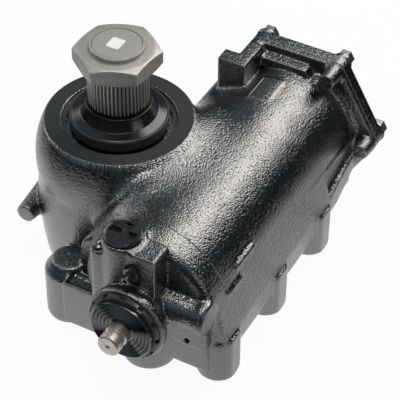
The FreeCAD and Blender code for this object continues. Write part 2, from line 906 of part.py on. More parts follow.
def shape_piece(label, shape, axis):
    item = doc.addObject("Part::Feature", label)
    item.Label = label
    item.Shape = shape
    at, turn = AXES[axis]
    place(item, at, turn)
    return item


def rear_cover_bolts():
    shank_r = value("cover_bolt_r - seat_gap")
    washer_r = value("cover_washer_r")
    tip = value("flange_front - flange_boss_length + 6")
    seat = value("bolt_seat")
    step = seat + value("cover_washer")
    profile = [(0, tip), (shank_r, tip), (shank_r, seat), (washer_r, seat), (washer_r, step),
               (0, step)]
    head = (value("cover_head_af"), step, step + value("cover_head_height"))
    return bolt_group("rear_cover_bolts", 6, value("cover_bolt_circle_r"), 0, "piston", profile,
                      head)


def rear_cover_seal():
    return ring("rear_cover_seal", "piston", "bore_r - 3.8", "bore_r - running_gap",
                "flange_rear - 7.3", "flange_rear - 3.7")


# Piston with its rack, and the ball screw

def helix_groove(radius, start, turns):
    """A round cord along the ball path, to be cut out of the worm or the nut."""
    lead = value("screw_lead")
    circle_r = value("ball_circle_r")
    path = Part.makeHelix(lead, lead * turns, circle_r)
    path.translate(Vector(0, 0, start))
    slope = math.atan2(lead, 2 * math.pi * circle_r)
    tangent = Vector(0, math.cos(slope), math.sin(slope))
    section = Part.makeCircle(radius, Vector(circle_r, 0, start), tangent)
    sweep = Part.Wire(path.Edges).makePipeShell([Part.Wire([section])], True, True)
    return sweep


def piston():
    body = new_body("piston_body", "piston")
    revolve(body, [
        ("0", "piston_front"),
        ("bore_r - free_gap - 3", "piston_front"),
        ("bore_r - free_gap", "piston_front + 3"),
        ("bore_r - free_gap", "piston_rear - 3"),
        ("bore_r - free_gap - 3", "piston_rear"),
        ("piston_hollow_r", "piston_rear"),
        ("piston_hollow_r", "piston_rear - piston_hollow_depth"),
        ("0", "piston_rear - piston_hollow_depth"),
    ])
    groove(body, [
        ("bore_r - piston_ring_depth", "piston_ring_at"),
        ("bore_r + 1", "piston_ring_at"),
        ("bore_r + 1", "piston_ring_at + piston_ring_width"),
        ("bore_r - piston_ring_depth", "piston_ring_at + piston_ring_width"),
    ], "ring_groove_cut")
    groove(body, [
        ("0", "piston_front - 1"),
        ("nut_bore_r", "piston_front - 1"),
        ("nut_bore_r", "nut_bore_end"),
        ("0", "nut_bore_end"),
    ], "nut_bore")

    def flat(sketch):
        outline(sketch, [
            ("-rack_tip", "-2 * bore_r"),
            ("-rack_tip", "2 * bore_r"),
            ("-2 * bore_r", "2 * bore_r"),
            ("-2 * bore_r", "-2 * bore_r"),
        ])

    pocket(body, "rack_flat", flat, "piston_skirt_start", "piston_skirt_start - piston_front + 1")
    cut_rack_teeth(body)
    doc.recompute()
    finished = cut("piston_rack", body, nut_track())
    finished.Label = "piston_rack"
    return finished


def cut_rack_teeth(body):
    """Five straight-sided spaces; the sector tooth at rest stands in the middle one."""
    half_pitch = "(pi * tooth_module / 4 + tooth_backlash / 4)"
    pitch_line = "(centre_distance - pitch_r)"
    tan_side = "tan(pressure_angle)"
    for k in range(-2, 3):
        middle = f"(sector_y + {k} * pi * tooth_module)"
        top = f"({half_pitch} + (tooth_addendum + 1) * {tan_side})"
        root = f"({half_pitch} - (tooth_addendum + tooth_clearance) * {tan_side})"
        sketch = new_sketch(body, f"tooth_space_{k + 2}_sketch", "XZ_Plane")
        outline(sketch, [
            (f"-{pitch_line} - tooth_addendum - 1", f"{middle} - {top}"),
            (f"-{pitch_line} - tooth_addendum - 1", f"{middle} + {top}"),
            ("-rack_root", f"{middle} + {root}"),
            ("-rack_root", f"{middle} - {root}"),
        ])
        doc.recompute()
        before = body.Shape.Volume
        feature = body.newObject("PartDesign::Pocket", f"tooth_space_{k + 2}")
        feature.Profile = (sketch, [""])
        feature.Midplane = True
        bind(feature, "Length", "4 * bore_r")
        check_cut(body, before, feature.Name)


def nut_track():
    track = helix_groove(value("groove_r"), value("nut_start"), value("nut_turns"))
    return shape_piece("nut_track", track, "piston")


def piston_ring():
    return ring("piston_ring", "piston", "bore_r - piston_ring_depth + seat_gap",
                "bore_r - running_gap", "piston_ring_at + seat_gap",
                "piston_ring_at + piston_ring_width - seat_gap")


def piston_end_plug():
    body = new_body("piston_end_plug", "piston")
    low = "piston_rear - end_plug_thick - 2"
    revolve(body, [
        ("0", low),
        ("piston_hollow_r - seat_gap", low),
        ("piston_hollow_r - seat_gap", f"{low} + end_plug_thick"),
        ("0", f"{low} + end_plug_thick"),
    ])

    def socket(sketch):
        outline(sketch, hexagon("17"))

    pocket(body, "plug_socket", socket, f"{low} + end_plug_thick + 1", "6")
    return body


def worm():
    body = new_body("worm_body", "piston")
    revolve(body, [
        ("torsion_bore_r", "sleeve_rear"),
        ("worm_head_r", "sleeve_rear"),
        ("worm_head_r", "rear_thrust"),
        ("worm_r - 0.6", "rear_thrust"),
        ("worm_r - 0.6", "screw_start - 6"),
        ("worm_r", "screw_start - 6"),
        ("worm_r", "worm_tip - 3"),
        ("worm_r - 3", "worm_tip"),
        ("torsion_bore_r", "worm_tip"),
    ])
    doc.recompute()
    start = value("screw_start")
    turns = (value("screw_end") - start) / value("screw_lead")
    track = helix_groove(value("groove_r"), start, turns)
    finished = cut("worm", body, shape_piece("worm_track", track, "piston"))
    finished.Label = "worm"
    return finished


def recirculating_balls():
    """Balls standing in the track between the worm and the piston."""
    r = value("ball_circle_r")
    lead = value("screw_lead")
    turns = value("nut_turns")
    count = 12
    balls = []
    for k in range(count):
        angle = 2 * math.pi * turns * (k + 0.5) / count
        height = value("nut_start") + lead * angle / (2 * math.pi)
        spot = Vector(r * math.cos(angle), r * math.sin(angle), height)
        balls.append(Part.makeSphere(value("ball_r"), spot))
    return shape_piece("recirculating_balls", Part.makeCompound(balls), "piston")


# Rotary valve and input end

def thrust_bearing(label, front, rear, inner, outer):
    """Two thrust washers with a ring of needle rollers between them."""
    thin = value("thrust_washer")
    low = value(front)
    high = value(rear)
    inner_r = value(inner)
    outer_r = value(outer)
    pieces = []
    for start in (low + 0.05, high - thin - 0.05):
        disc = Part.makeCylinder(outer_r, thin, Vector(0, 0, start))
        pieces.append(disc.cut(Part.makeCylinder(inner_r, thin, Vector(0, 0, start))))
    roller_r = (high - low - 2 * thin - 0.2) / 2
    count = 12
    length = outer_r - inner_r - 4
    for k in range(count):
        angle = 2 * math.pi * k / count
        way = Vector(math.cos(angle), math.sin(angle), 0)
        spot = way * (inner_r + 2) + Vector(0, 0, (low + high) / 2)
        pieces.append(Part.makeCylinder(roller_r, length, spot, way))
    return shape_piece(label, Part.makeCompound(pieces), "piston")


def valve_sleeve():
    body = new_body("valve_sleeve", "piston")
    revolve(body, [
        ("spool_r + running_gap", "sleeve_front"),
        ("valve_bore_r - running_gap", "sleeve_front"),
        ("valve_bore_r - running_gap", "sleeve_rear - seat_gap"),
        ("spool_r + running_gap", "sleeve_rear - seat_gap"),
    ])
    for k in range(3):
        low = f"sleeve_front + 2.4 + {k} * 5.4"
        groove(body, [
            ("valve_bore_r - 3", low),
            ("valve_bore_r + 1", low),
            ("valve_bore_r + 1", f"{low} + sleeve_ring_width"),
            ("valve_bore_r - 3", f"{low} + sleeve_ring_width"),
        ], f"sleeve_groove_{k}")
    return body


def sleeve_rings():
    rings = []
    inner = value("valve_bore_r - 3 + seat_gap")
    outer = value("valve_bore_r - running_gap")
    width = value("sleeve_ring_width - 2 * seat_gap")
    for k in range(3):
        low = value(f"sleeve_front + 2.4 + {k} * 5.4 + seat_gap")
        disc = Part.makeCylinder(outer, width, Vector(0, 0, low))
        rings.append(disc.cut(Part.makeCylinder(inner, width, Vector(0, 0, low))))
    return shape_piece("sleeve_rings", Part.makeCompound(rings), "piston")


def input_shaft():
    body = new_body("input_shaft", "piston")
    neck = "input_tip + input_head"
    revolve(body, [
        ("0", "input_tip"),
        ("input_r - input_chamfer", "input_tip"),
        ("input_r", "input_tip + input_chamfer"),
        ("input_r", neck),
        ("input_neck_r", f"{neck} + 1.5"),
        ("input_neck_r", f"{neck} + input_neck"),
        ("input_r", f"{neck} + input_neck + 1.5"),
        ("input_r", "front_thrust - 2"),
        ("spool_r", "front_thrust - 2"),
        ("spool_r", "sleeve_rear - 0.4"),
        ("torsion_bore_r", "sleeve_rear - 0.4"),
        ("torsion_bore_r", "input_tip + 40"),
        ("0", "input_tip + 40"),
    ])
    groove(body, [
        ("0", "input_tip - 1"),
        ("centre_drill_r + 1", "input_tip - 1"),
        ("centre_drill_r", "input_tip + 1.4"),
        ("0", "input_tip + 5"),
    ], "centre_drill")

    def slot(sketch):
        outline(sketch, [("spool_r - 1.6", "-1.8"), ("spool_r + 1", "-1.8"),
                         ("spool_r + 1", "1.8"), ("spool_r - 1.6", "1.8")])

    cut_slot = pocket(body, "spool_slot", slot, "sleeve_rear - 4", "sleeve_length - 8")
    repeat(body, cut_slot, "spool_slots")
    return body


def torsion_bar():
    body = new_body("torsion_bar", "piston")
    revolve(body, [
        ("0", "input_tip + 42"),
        ("torsion_bore_r - seat_gap", "input_tip + 42"),
        ("torsion_bore_r - seat_gap", "input_tip + 52"),
        ("torsion_bar_r", "input_tip + 56"),
        ("torsion_bar_r", "worm_tip - 16"),
        ("torsion_bore_r - seat_gap", "worm_tip - 12"),
        ("torsion_bore_r - seat_gap", "worm_tip - 2"),
        ("0", "worm_tip - 2"),
    ])
    return body


def bearing_adjuster():
    """The castellated ring that sets the worm bearings and carries the input seal."""
    body = new_body("bearing_adjuster", "piston")
    step = "adjuster_rim_front + 8"
    revolve(body, [
        ("bellows_r - 6", "adjuster_rim_front"),
        ("adjuster_rim_r - 1", "adjuster_rim_front"),
        ("adjuster_rim_r", "adjuster_rim_front + 1"),
        ("adjuster_rim_r", "collar_front - seat_gap"),
        ("adjuster_r - seat_gap", "collar_front - seat_gap"),
        ("adjuster_r - seat_gap", "front_thrust - seat_gap"),
        ("needle_r", "front_thrust - seat_gap"),
        ("needle_r", f"{step}"),
        ("input_seal_r", f"{step}"),
        ("input_seal_r", "adjuster_rim_front + 3"),
        ("bellows_r - 6", "adjuster_rim_front + 3"),
    ])

    def notch(sketch):
        outline(sketch, [("adjuster_rim_r - 3", "-3"), ("adjuster_rim_r + 1", "-3"),
                         ("adjuster_rim_r + 1", "3"), ("adjuster_rim_r - 3", "3")])

    cut_notch = pocket(body, "rim_notch", notch, "collar_front - 1", "8")
    repeat(body, cut_notch, "adjuster_notches")
    return body


def input_dust_seal():
    """The ribbed rubber seal round the input shaft: concentric folds on its face."""
    body = new_body("input_dust_seal", "piston")
    inner = "input_r + running_gap"
    face = "bellows_face"
    back = "adjuster_rim_front - seat_gap"
    step = "((bellows_r - input_r - 3) / bellows_ridges / 2)"
    corners = [(inner, back), (inner, face)]
    for k in range(1, 11):
        deep = "2.2" if k % 2 else "0"
        corners.append((f"input_r + 1.5 + {k} * {step}", f"{face} + {deep}"))
    corners += [("bellows_r", f"{face} + 1.2"), ("bellows_r", back)]
    revolve(body, corners)
    return body


# Sector shaft and what surrounds it

def involute(angle):
    return math.tan(angle) - angle


def tooth_half_angle(radius):
    """Half the angle that a sector tooth covers at a radius."""
    pitch = value("pitch_r")
    press = math.radians(value("pressure_angle"))
    base = pitch * math.cos(press)
    half = (math.pi * value("tooth_module") / 2 - value("tooth_backlash") / 2) / 2 / pitch
    here = math.acos(min(1.0, base / radius))
    return half + involute(press) - involute(here)


def polar(radius, angle):
    return Vector(radius * math.cos(angle), radius * math.sin(angle), 0)


def sector_tooth(middle):
    """The face of one tooth: involute flanks, radial below the base circle."""
    root = value("sector_root_r") - 1
    tip = value("sector_tip_r")
    base = value("pitch_r") * math.cos(math.radians(value("pressure_angle")))
    steps = 5
    radii = [base + (tip - base) * k / steps for k in range(steps + 1)]
    sides = []
    for sign in (1, -1):
        spine = Part.BSplineCurve()
        spine.interpolate([polar(r, middle + sign * tooth_half_angle(r)) for r in radii])
        sides.append(spine.toShape())
    foot = tooth_half_angle(base)
    low = [polar(root, middle + sign * foot) for sign in (1, -1)]
    start = [polar(base, middle + sign * foot) for sign in (1, -1)]
    ends = [polar(tip, middle + sign * tooth_half_angle(tip)) for sign in (1, -1)]
    crown = Part.Arc(ends[1], polar(tip, middle), ends[0]).toShape()
    edges = [Part.makeLine(low[0], start[0]), sides[0], crown, sides[1],
             Part.makeLine(start[1], low[1]), Part.makeLine(low[1], low[0])]
    return Part.Face(Part.Wire(Part.__sortEdges__(edges)))


def sector_teeth():
    """Five teeth on the side that faces the rack."""
    step = value("tooth_module") / value("pitch_r") * math.pi
    height = value("gear_face")
    low = value("gear_bottom")
    teeth = []
    for k in range(-2, 3):
        tooth = sector_tooth(k * step).extrude(Vector(0, 0, height))
        tooth.translate(Vector(0, 0, low))
        teeth.append(tooth)
    half = 2.65 * math.degrees(step)
    root = Part.makeCylinder(value("sector_root_r"), height, Vector(0, 0, low), Vector(0, 0, 1),
                             2 * half)
    root.rotate(Vector(), Vector(0, 0, 1), -half)
    return shape_piece("sector_teeth", root.multiFuse(teeth).removeSplitter(), "sector")


def serration_cuts():
    """Straight vee grooves round the shaft end, made as one ring of wedges."""
    count = int(value("serration_count"))
    outer = value("serration_r") + 1
    inner = value("serration_r") - value("serration_depth")
    half = math.pi / count
    points = []
    for k in range(count):
        middle = 2 * half * k
        points.append(polar(inner, middle))
        points.append(polar(outer, middle + half))
    low = Vector(0, 0, value("serration_bottom"))
    height = value("serration_length") + 0.5
    star = Part.Face(Part.makePolygon(points + points[:1])).extrude(Vector(0, 0, height))
    star.translate(low)
    wedges = Part.makeCylinder(outer + 4, height, low).cut(star)
    return shape_piece("serration_cuts", wedges, "sector")


def sector_shaft():
    body = new_body("sector_shaft_body", "sector")
    thread = "serration_top - 1"
    revolve(body, [
        ("0", "shaft_bottom"),
        ("lower_journal_r - 1", "shaft_bottom"),
        ("lower_journal_r", "shaft_bottom + 1"),
        ("lower_journal_r", "gear_bottom"),
        ("gear_hub_r", "gear_bottom"),
        ("gear_hub_r", "gear_top"),
        ("journal_r", "gear_top"),
        ("journal_r", "serration_bottom - 4"),
        ("serration_r", "serration_bottom"),
        ("serration_r", thread),
        ("shaft_thread_r", f"{thread} + 1"),
        ("shaft_thread_r", "shaft_end - 1"),
        ("shaft_thread_r - 1", "shaft_end"),
        ("0", "shaft_end"),
    ])
    socket = "lash_head_r + free_gap"
    groove(body, [
        ("0", "shaft_bottom - 1"),
        (socket, "shaft_bottom - 1"),
        (socket, "shaft_bottom + retainer_length + 6"),
        ("0", "shaft_bottom + retainer_length + 6"),
    ], "lash_socket")
    toothed = fuse("toothed_shaft", [body, sector_teeth()])
    finished = cut("sector_shaft", toothed, serration_cuts())
    finished.Label = "sector_shaft"
    return finished


def shaft_nut():
    """The hexagon nut on the shaft end, with its chamfered top and raised collar."""
    body = new_body("shaft_nut", "sector")
    bore = "shaft_thread_r + running_gap"
    low = "serration_top"

    def blank(sketch):
        outline(sketch, hexagon("nut_af", "nut_turn"))

    pad(body, "nut_blank", blank, low, "nut_height")
    groove(body, [
        ("nut_af / 2 - 2", "nut_top + 1"),
        ("nut_af / 2 - 2", "nut_top"),
        ("nut_af / sqrt(3) + 1", "nut_top - 4.5"),
        ("nut_af / sqrt(3) + 1", "nut_top + 1"),
    ], "nut_chamfer")
    groove(body, [
        ("nut_af / 2 - 1", f"{low} - 1"),
        ("nut_af / sqrt(3) + 1", f"{low} - 1"),
        ("nut_af / sqrt(3) + 1", f"{low} + 3.2"),
        ("nut_af / 2 - 1", low),
    ], "nut_under_chamfer")
    revolve(body, [
        ("shaft_thread_r", "nut_top - 1"),
        ("nut_collar_r", "nut_top - 1"),
        ("nut_collar_r", "nut_top + nut_collar - 0.8"),
        ("nut_collar_r - 0.8", "nut_top + nut_collar"),
        ("shaft_thread_r", "nut_top + nut_collar"),
    ], "nut_collar_ring")
    groove(body, [
        ("0", f"{low} - 1"),
        (bore, f"{low} - 1"),
        (bore, "nut_top + nut_collar + 1"),
        ("0", "nut_top + nut_collar + 1"),
    ], "nut_bore_cut")
    return body


def dust_boot():
    """The rubber cone over the sector seal, with a lip that grips the serration."""
    body = new_body("dust_boot", "sector")
    low = "top_recess + 6"
    revolve(body, [
        ("boot_rim_r - 8", low),
        ("boot_rim_r - 2.4", low),
        ("boot_rim_r - 2.4", "boot_rim_top - 0.4"),
        ("boot_rim_r - 6", "boot_rim_top + 0.8"),
        ("serration_r + 9", "boot_rim_top + 3"),
        ("serration_r + 4.5", "boot_neck_top - 4"),
        ("serration_r + 3", "boot_neck_top"),
        ("serration_r + running_gap", "boot_neck_top"),
        ("serration_r + running_gap", "boot_neck_top - 6"),
        ("serration_r + 4", "boot_rim_top - 2"),
        ("boot_rim_r - 8", "boot_rim_top - 4"),
    ])
    return body


def boot_ring():
    """The metal band that holds the boot's rim."""
    return ring("boot_ring", "sector", "boot_rim_r - 2.4 + running_gap", "boot_rim_r",
                "top_recess + 5", "boot_rim_top")


def end_label():
    """The small blank label stuck on the shaft's end face."""
    body = new_body("end_label", "sector")
    left, right = "label_x - label_width / 2", "label_x + label_width / 2"
    near, far = "label_y - label_length / 2", "label_y + label_length / 2"

    def square(sketch):
        outline(sketch, [(left, near), (right, near), (right, far), (left, far)])

    plate = pad(body, "label_plate", square, "shaft_end", "label_thick")
    doc.recompute()
    fillet = body.newObject("PartDesign::Fillet", "label_corners")
    fillet.Base = (plate, edges_where(plate.Shape, is_along_z))
    bind(fillet, "Radius", "label_corner_r")
    return body


# Bottom cover and lash adjuster

def bottom_cover():
    """The round cover under the sector, with the hub of the lower bearing."""
    body = new_body("bottom_cover", "sector")
    back = "cover_face + bottom_cover_thick"
    revolve(body, [
        ("lash_screw_r + seat_gap", "cover_face - 3"),
        ("lash_screw_r + 9", "cover_face - 3"),
        ("lash_screw_r + 12", "cover_face"),
        ("gear_chamber_r - seat_gap - 1.5", "cover_face"),
        ("gear_chamber_r - seat_gap", "cover_face + 1.5"),
        ("gear_chamber_r - seat_gap", back),
        ("hub_r + 14", back),
        ("hub_r", f"{back} + 12"),
        ("hub_r", "gear_bottom - 3"),
        ("lower_bearing_r + seat_gap", "gear_bottom - 3"),
        ("lower_bearing_r + seat_gap", "shaft_bottom - 2"),
        ("lash_screw_r + seat_gap", "shaft_bottom - 2"),
    ])
    return body


def open_ring(label, inner, outer, low, thick, turn):
    """A snap ring in one of the housing's grooves, with its gap at an angle."""
    inner_r = value(inner)
    outer_r = value(outer)
    start = Vector(0, 0, value(low))
    height = value(thick)
    band = Part.makeCylinder(outer_r, height, start)
    band = band.cut(Part.makeCylinder(inner_r, height, start))
    gap = Part.makeBox(16, 9, height, Vector(-outer_r - 4, -4.5, start.z))
    gap.rotate(Vector(), Vector(0, 0, 1), turn)
    return shape_piece(label, band.cut(gap), "sector")


def lash_screw():
    """The screw that sets the sector's height; its head turns inside the shaft's end."""
    body = new_body("lash_screw", "sector")
    head = "shaft_bottom + retainer_length + seat_gap"
    revolve(body, [
        ("0", "cover_face - 12"),
        ("lash_screw_r - 1", "cover_face - 12"),
        ("lash_screw_r", "cover_face - 11"),
        ("lash_screw_r", "shaft_bottom - 0.5"),
        ("lash_neck_r", "shaft_bottom - 0.5"),
        ("lash_neck_r", head),
        ("lash_head_r", head),
        ("lash_head_r", f"{head} + 5"),
        ("0", f"{head} + 5"),
    ])

    def slot(sketch):
        outline(sketch, hexagon("6"))

    pocket(body, "screw_socket", slot, "cover_face - 6", "8")
    return body


def lash_retainer():
    """The ring nut in the shaft's end that holds the screw's head."""
    return ring("lash_retainer", "sector", "lash_neck_r + free_gap",
                "lash_head_r + free_gap - running_gap", "shaft_bottom + 0.5",
                "shaft_bottom + retainer_length")


def lash_nut():
    body = new_body("lash_nut", "sector")

    def blank(sketch):
        outline(sketch, hexagon("lash_nut_af"))
        circle(sketch, "0", "0", "lash_screw_r + running_gap")

    pad(body, "lash_nut_blank", blank, "cover_face - 3 - lash_nut_height", "lash_nut_height")
    return body


# Ports and limiter

def plug_profile(face, low):
    """Flange and threaded spigot of a plastic transport plug."""
    return [
        ("0", low),
        ("port_thread_r - seat_gap - 1", low),
        ("port_thread_r - seat_gap", f"{low} + 1"),
        ("port_thread_r - seat_gap", face),
        ("port_plug_r - 0.6", face),
        ("port_plug_r", f"{face} + 1"),
        ("port_plug_r", f"{face} + 4"),
        ("port_plug_r - 1.5", f"{face} + 5"),
        ("port_plug_r - 3", f"{face} + 4.2"),
        ("0", f"{face} + 4.2"),
    ]


def cross_recess(sketch):
    """A plus-shaped recess for the driving key."""
    arm = "15"
    half = "4"
    outline(sketch, [
        (f"-{arm}", f"-{half}"), (f"-{half}", f"-{half}"), (f"-{half}", f"-{arm}"),
        (half, f"-{arm}"), (half, f"-{half}"), (arm, f"-{half}"), (arm, half), (half, half),
        (half, arm), (f"-{half}", arm), (f"-{half}", half), (f"-{arm}", half),
    ])


def port_plug():
    body = new_body("port_plug", "port")
    revolve(body, plug_profile("port_top", "port_top - 16"))
    pocket(body, "cross_recess", cross_recess, "port_top + 6", "6")
    return body


def return_plug():
    body = new_body("return_plug", "return")
    revolve(body, plug_profile("-return_face", "-return_face - 16"))
    pocket(body, "return_recess", cross_recess, "-return_face + 6", "6")
    return body


def limiter_screw():
    body = new_body("limiter_screw", "limiter")
    tip = "block_front - limiter_reach"
    revolve(body, [
        ("0", tip),
        ("limiter_r - seat_gap - 0.6", tip),
        ("limiter_r - seat_gap", f"{tip} + 0.8"),
        ("limiter_r - seat_gap", "bore_front - 3"),
        ("3", "bore_front"),
        ("0", "bore_front"),
    ])

    def socket(sketch):
        outline(sketch, hexagon("5"))

    pocket(body, "limiter_socket", socket, f"{tip} + 5", "7")
    return body


def limiter_nut():
    body = new_body("limiter_nut", "limiter")

    def blank(sketch):
        outline(sketch, hexagon("limiter_nut_af", "30"))
        circle(sketch, "0", "0", "limiter_r + running_gap")

    pad(body, "limiter_nut_blank", blank, "block_front - limiter_nut_height",
        "limiter_nut_height")
    return body


def nipple():
    """The bleed nipple beside the port, screwed into the column's low shoulder."""
    body = new_body("bleed_nipple", "nipple")
    revolve(body, [
        ("0", "nipple_seat - 14"),
        ("nipple_r - seat_gap", "nipple_seat - 14"),
        ("nipple_r - seat_gap", "nipple_seat"),
        ("nipple_r + 1.5", "nipple_seat"),
        ("nipple_r + 1.5", "nipple_seat + 3"),
        ("nipple_r - 1.5", "nipple_seat + 4"),
        ("nipple_r - 1", "nipple_seat + 7"),
        ("0", "nipple_seat + 8"),
    ])
    return body


def build():
    """Make every piece, and give them back in the order that they go together."""
    pieces = [housing(), rear_cover(), rear_cover_bolts(), rear_cover_seal()]
    pieces += [piston(), piston_ring(), piston_end_plug(), worm(), recirculating_balls()]
    pieces += [valve_sleeve(), sleeve_rings(), input_shaft(), torsion_bar()]
    pieces += [
        thrust_bearing("rear_thrust_bearing", "rear_thrust", "bore_front - partition",
                       "worm_r + 1", "thrust_outer_r"),
        thrust_bearing("front_thrust_bearing", "front_thrust", "sleeve_front",
                       "spool_r + 1.5", "thrust_outer_r"),
        bearing_adjuster(), input_dust_seal(),
        ring("input_needle_bearing", "piston", "input_r + running_gap", "needle_r - seat_gap",
             "adjuster_rim_front + 8.5", "front_thrust - 2.5"),
        ring("input_oil_seal", "piston", "input_r + running_gap", "input_seal_r - seat_gap",
             "adjuster_rim_front + 3.5", "adjuster_rim_front + 7.8"),
    ]
    pieces += [sector_shaft(), shaft_nut(), end_label(), dust_boot(), boot_ring()]
    pieces += [
        ring("upper_sector_bearing", "sector", "journal_r + running_gap",
             "upper_bearing_r - seat_gap", "upper_bearing_bottom", "upper_bearing_top"),
        ring("lower_sector_bearing", "sector", "lower_journal_r + running_gap",
             "lower_bearing_r", "lower_bearing_bottom", "gear_bottom - 3"),
        ring("sector_oil_seal", "sector", "journal_r + running_gap", "seal_bore_r - seat_gap",
             "seal_bottom", "seal_top"),
        ring("sector_backup_washer", "sector", "journal_r + free_gap", "seal_bore_r - seat_gap",
             "seal_bottom - 5.5", "seal_bottom - 0.5"),
    ]
    pieces += [
        open_ring("retaining_ring", "top_recess_r - 5", "ring_groove_r - 3 * seat_gap",
                  "top_recess + 2 + seat_gap", "ring_section - 2 * seat_gap", -38),
        open_ring("bottom_retaining_ring", "bottom_ring_r", "bottom_groove_r - 3 * seat_gap",
                  "cover_face - 0.1 - bottom_ring_thick", "bottom_ring_thick", 150),
    ]
    pieces += [bottom_cover(), lash_screw(), lash_retainer(), lash_nut()]
    pieces += [port_plug(), return_plug(), limiter_screw(), limiter_nut(), nipple()]
    return pieces


def export(pieces):
    """Check every object, then write each piece to its own file."""
    doc.recompute()
    for item in doc.Objects:
        if "Invalid" in item.State or "Error" in item.State:
            raise ValueError(f"{item.Name} failed: {item.State}")
    for piece in pieces:
        if piece.Shape.isNull() or not piece.Shape.isValid():
            raise ValueError(f"{piece.Label} has no valid shape")
    os.makedirs("parts", exist_ok=True)
    for piece in pieces:
        piece.Shape.exportStep(f"parts/{piece.Label}.step")


fill_sheet()
export(build())
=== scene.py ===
import json
import math

import bpy
import numpy as np
from bpy.props import FloatProperty, FloatVectorProperty, IntProperty, PointerProperty
from bpy.types import Operator, Panel, PropertyGroup
from mathutils import Matrix, Vector, noise


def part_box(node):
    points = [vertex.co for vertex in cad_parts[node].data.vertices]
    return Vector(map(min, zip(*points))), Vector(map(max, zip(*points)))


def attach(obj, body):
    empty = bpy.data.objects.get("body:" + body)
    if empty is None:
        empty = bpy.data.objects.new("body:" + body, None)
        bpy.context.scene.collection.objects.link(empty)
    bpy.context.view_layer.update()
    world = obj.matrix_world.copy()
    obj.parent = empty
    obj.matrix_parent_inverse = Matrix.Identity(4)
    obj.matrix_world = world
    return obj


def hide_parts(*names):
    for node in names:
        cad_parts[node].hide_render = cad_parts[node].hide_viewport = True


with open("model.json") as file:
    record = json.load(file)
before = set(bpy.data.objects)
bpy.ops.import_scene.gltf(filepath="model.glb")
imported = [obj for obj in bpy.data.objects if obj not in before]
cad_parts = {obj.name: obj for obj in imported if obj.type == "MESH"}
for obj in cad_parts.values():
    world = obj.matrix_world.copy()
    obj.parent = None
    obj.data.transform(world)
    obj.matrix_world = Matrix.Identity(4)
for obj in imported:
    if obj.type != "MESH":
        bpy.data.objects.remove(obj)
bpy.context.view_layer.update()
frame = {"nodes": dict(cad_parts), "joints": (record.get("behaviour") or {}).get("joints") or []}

bl_info = {
    "name": "Steering Gear Looks",
    "version": (1, 0, 0),
    "blender": (4, 5, 0),
    "location": "3D View > Sidebar > Steering Gear",
    "description": "Paint, metal, rubber and studio for the packed steering gear",
    "category": "Object",
}

JOINTS = {joint["name"]: joint for joint in frame["joints"]}
SECTOR = Vector(JOINTS["sector_swing"]["pos_m"])
PISTON = Vector(JOINTS["worm_turn"]["pos_m"])
RING_DEPTH = 0.005
TOWER_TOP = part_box("retaining_ring")[1].z + RING_DEPTH


# Node tools

def add_node(tree, kind, inputs=None, **settings):
    """A node with its settings, and with its inputs set or linked."""
    node = tree.nodes.new(kind)
    for key, value in settings.items():
        setattr(node, key, value)
    for key, value in (inputs or {}).items():
        if isinstance(value, bpy.types.NodeSocket):
            tree.links.new(value, node.inputs[key])
        else:
            node.inputs[key].default_value = value
    return node


def math_node(tree, operation, first, second=0.0, third=0.0):
    """The result of one sum, power or comparison."""
    node = add_node(tree, "ShaderNodeMath", {0: first, 1: second, 2: third}, operation=operation)
    return node.outputs[0]


def stretch(tree, value, low, high, to_low=0.0, to_high=1.0):
    """Map a value from one range to another, held at the ends."""
    node = add_node(tree, "ShaderNodeMapRange", {
        "Value": value, "From Min": low, "From Max": high, "To Min": to_low, "To Max": to_high,
    }, clamp=True)
    return node.outputs["Result"]


def blend_colours(tree, share, first, second):
    """The first colour, turning into the second as the share goes from 0 to 1."""
    # The Mix node keeps its colours at inputs 6 and 7, and its mixed colour at output 2.
    node = add_node(tree, "ShaderNodeMix", {0: share, 6: first, 7: second}, data_type="RGBA")
    return node.outputs[2]


def speckle(tree, coordinates, size, detail=2.0, roughness=0.5):
    """A noise texture whose grains are about this size, in metres."""
    node = add_node(tree, "ShaderNodeTexNoise", {
        "Vector": coordinates, "Scale": 1 / size, "Detail": detail, "Roughness": roughness,
    })
    return node.outputs["Fac"]


def new_group(name, inputs, outputs):
    """An empty shader node group: sockets as (name, socket type, default) and (name, type)."""
    group = bpy.data.node_groups.new(name, "ShaderNodeTree")
    for label, kind, default in inputs:
        socket = group.interface.new_socket(label, in_out="INPUT", socket_type=kind)
        socket.default_value = default
    for label, kind in outputs:
        group.interface.new_socket(label, in_out="OUTPUT", socket_type=kind)
    start = group.nodes.new("NodeGroupInput")
    end = group.nodes.new("NodeGroupOutput")
    return group, start, end


def place_group(tree, name, inputs):
    """The outputs of one of the shared groups, placed in this tree."""
    node = add_node(tree, "ShaderNodeGroup", inputs, node_tree=bpy.data.node_groups[name])
    return node.outputs


def own_place(tree):
    """Coordinates of the shaded point in metres, fixed to its piece."""
    return add_node(tree, "ShaderNodeTexCoord").outputs["Object"]


def split(tree, vector):
    """The X, Y and Z of a vector."""
    return add_node(tree, "ShaderNodeSeparateXYZ", {"Vector": vector}).outputs


def from_axis(tree, parts):
    """Distance from the Z axis of a vector that was split."""
    return math_node(tree, "SQRT", math_node(tree, "ADD",
                     math_node(tree, "POWER", parts["X"], 2.0),
                     math_node(tree, "POWER", parts["Y"], 2.0)))


def toned(colour, gain=1.0, lift=0.0):
    """An opaque colour, brightened or darkened from the given one."""
    return (*(min(1.0, c * gain + lift) for c in colour), 1.0)


# Effects shared by several materials

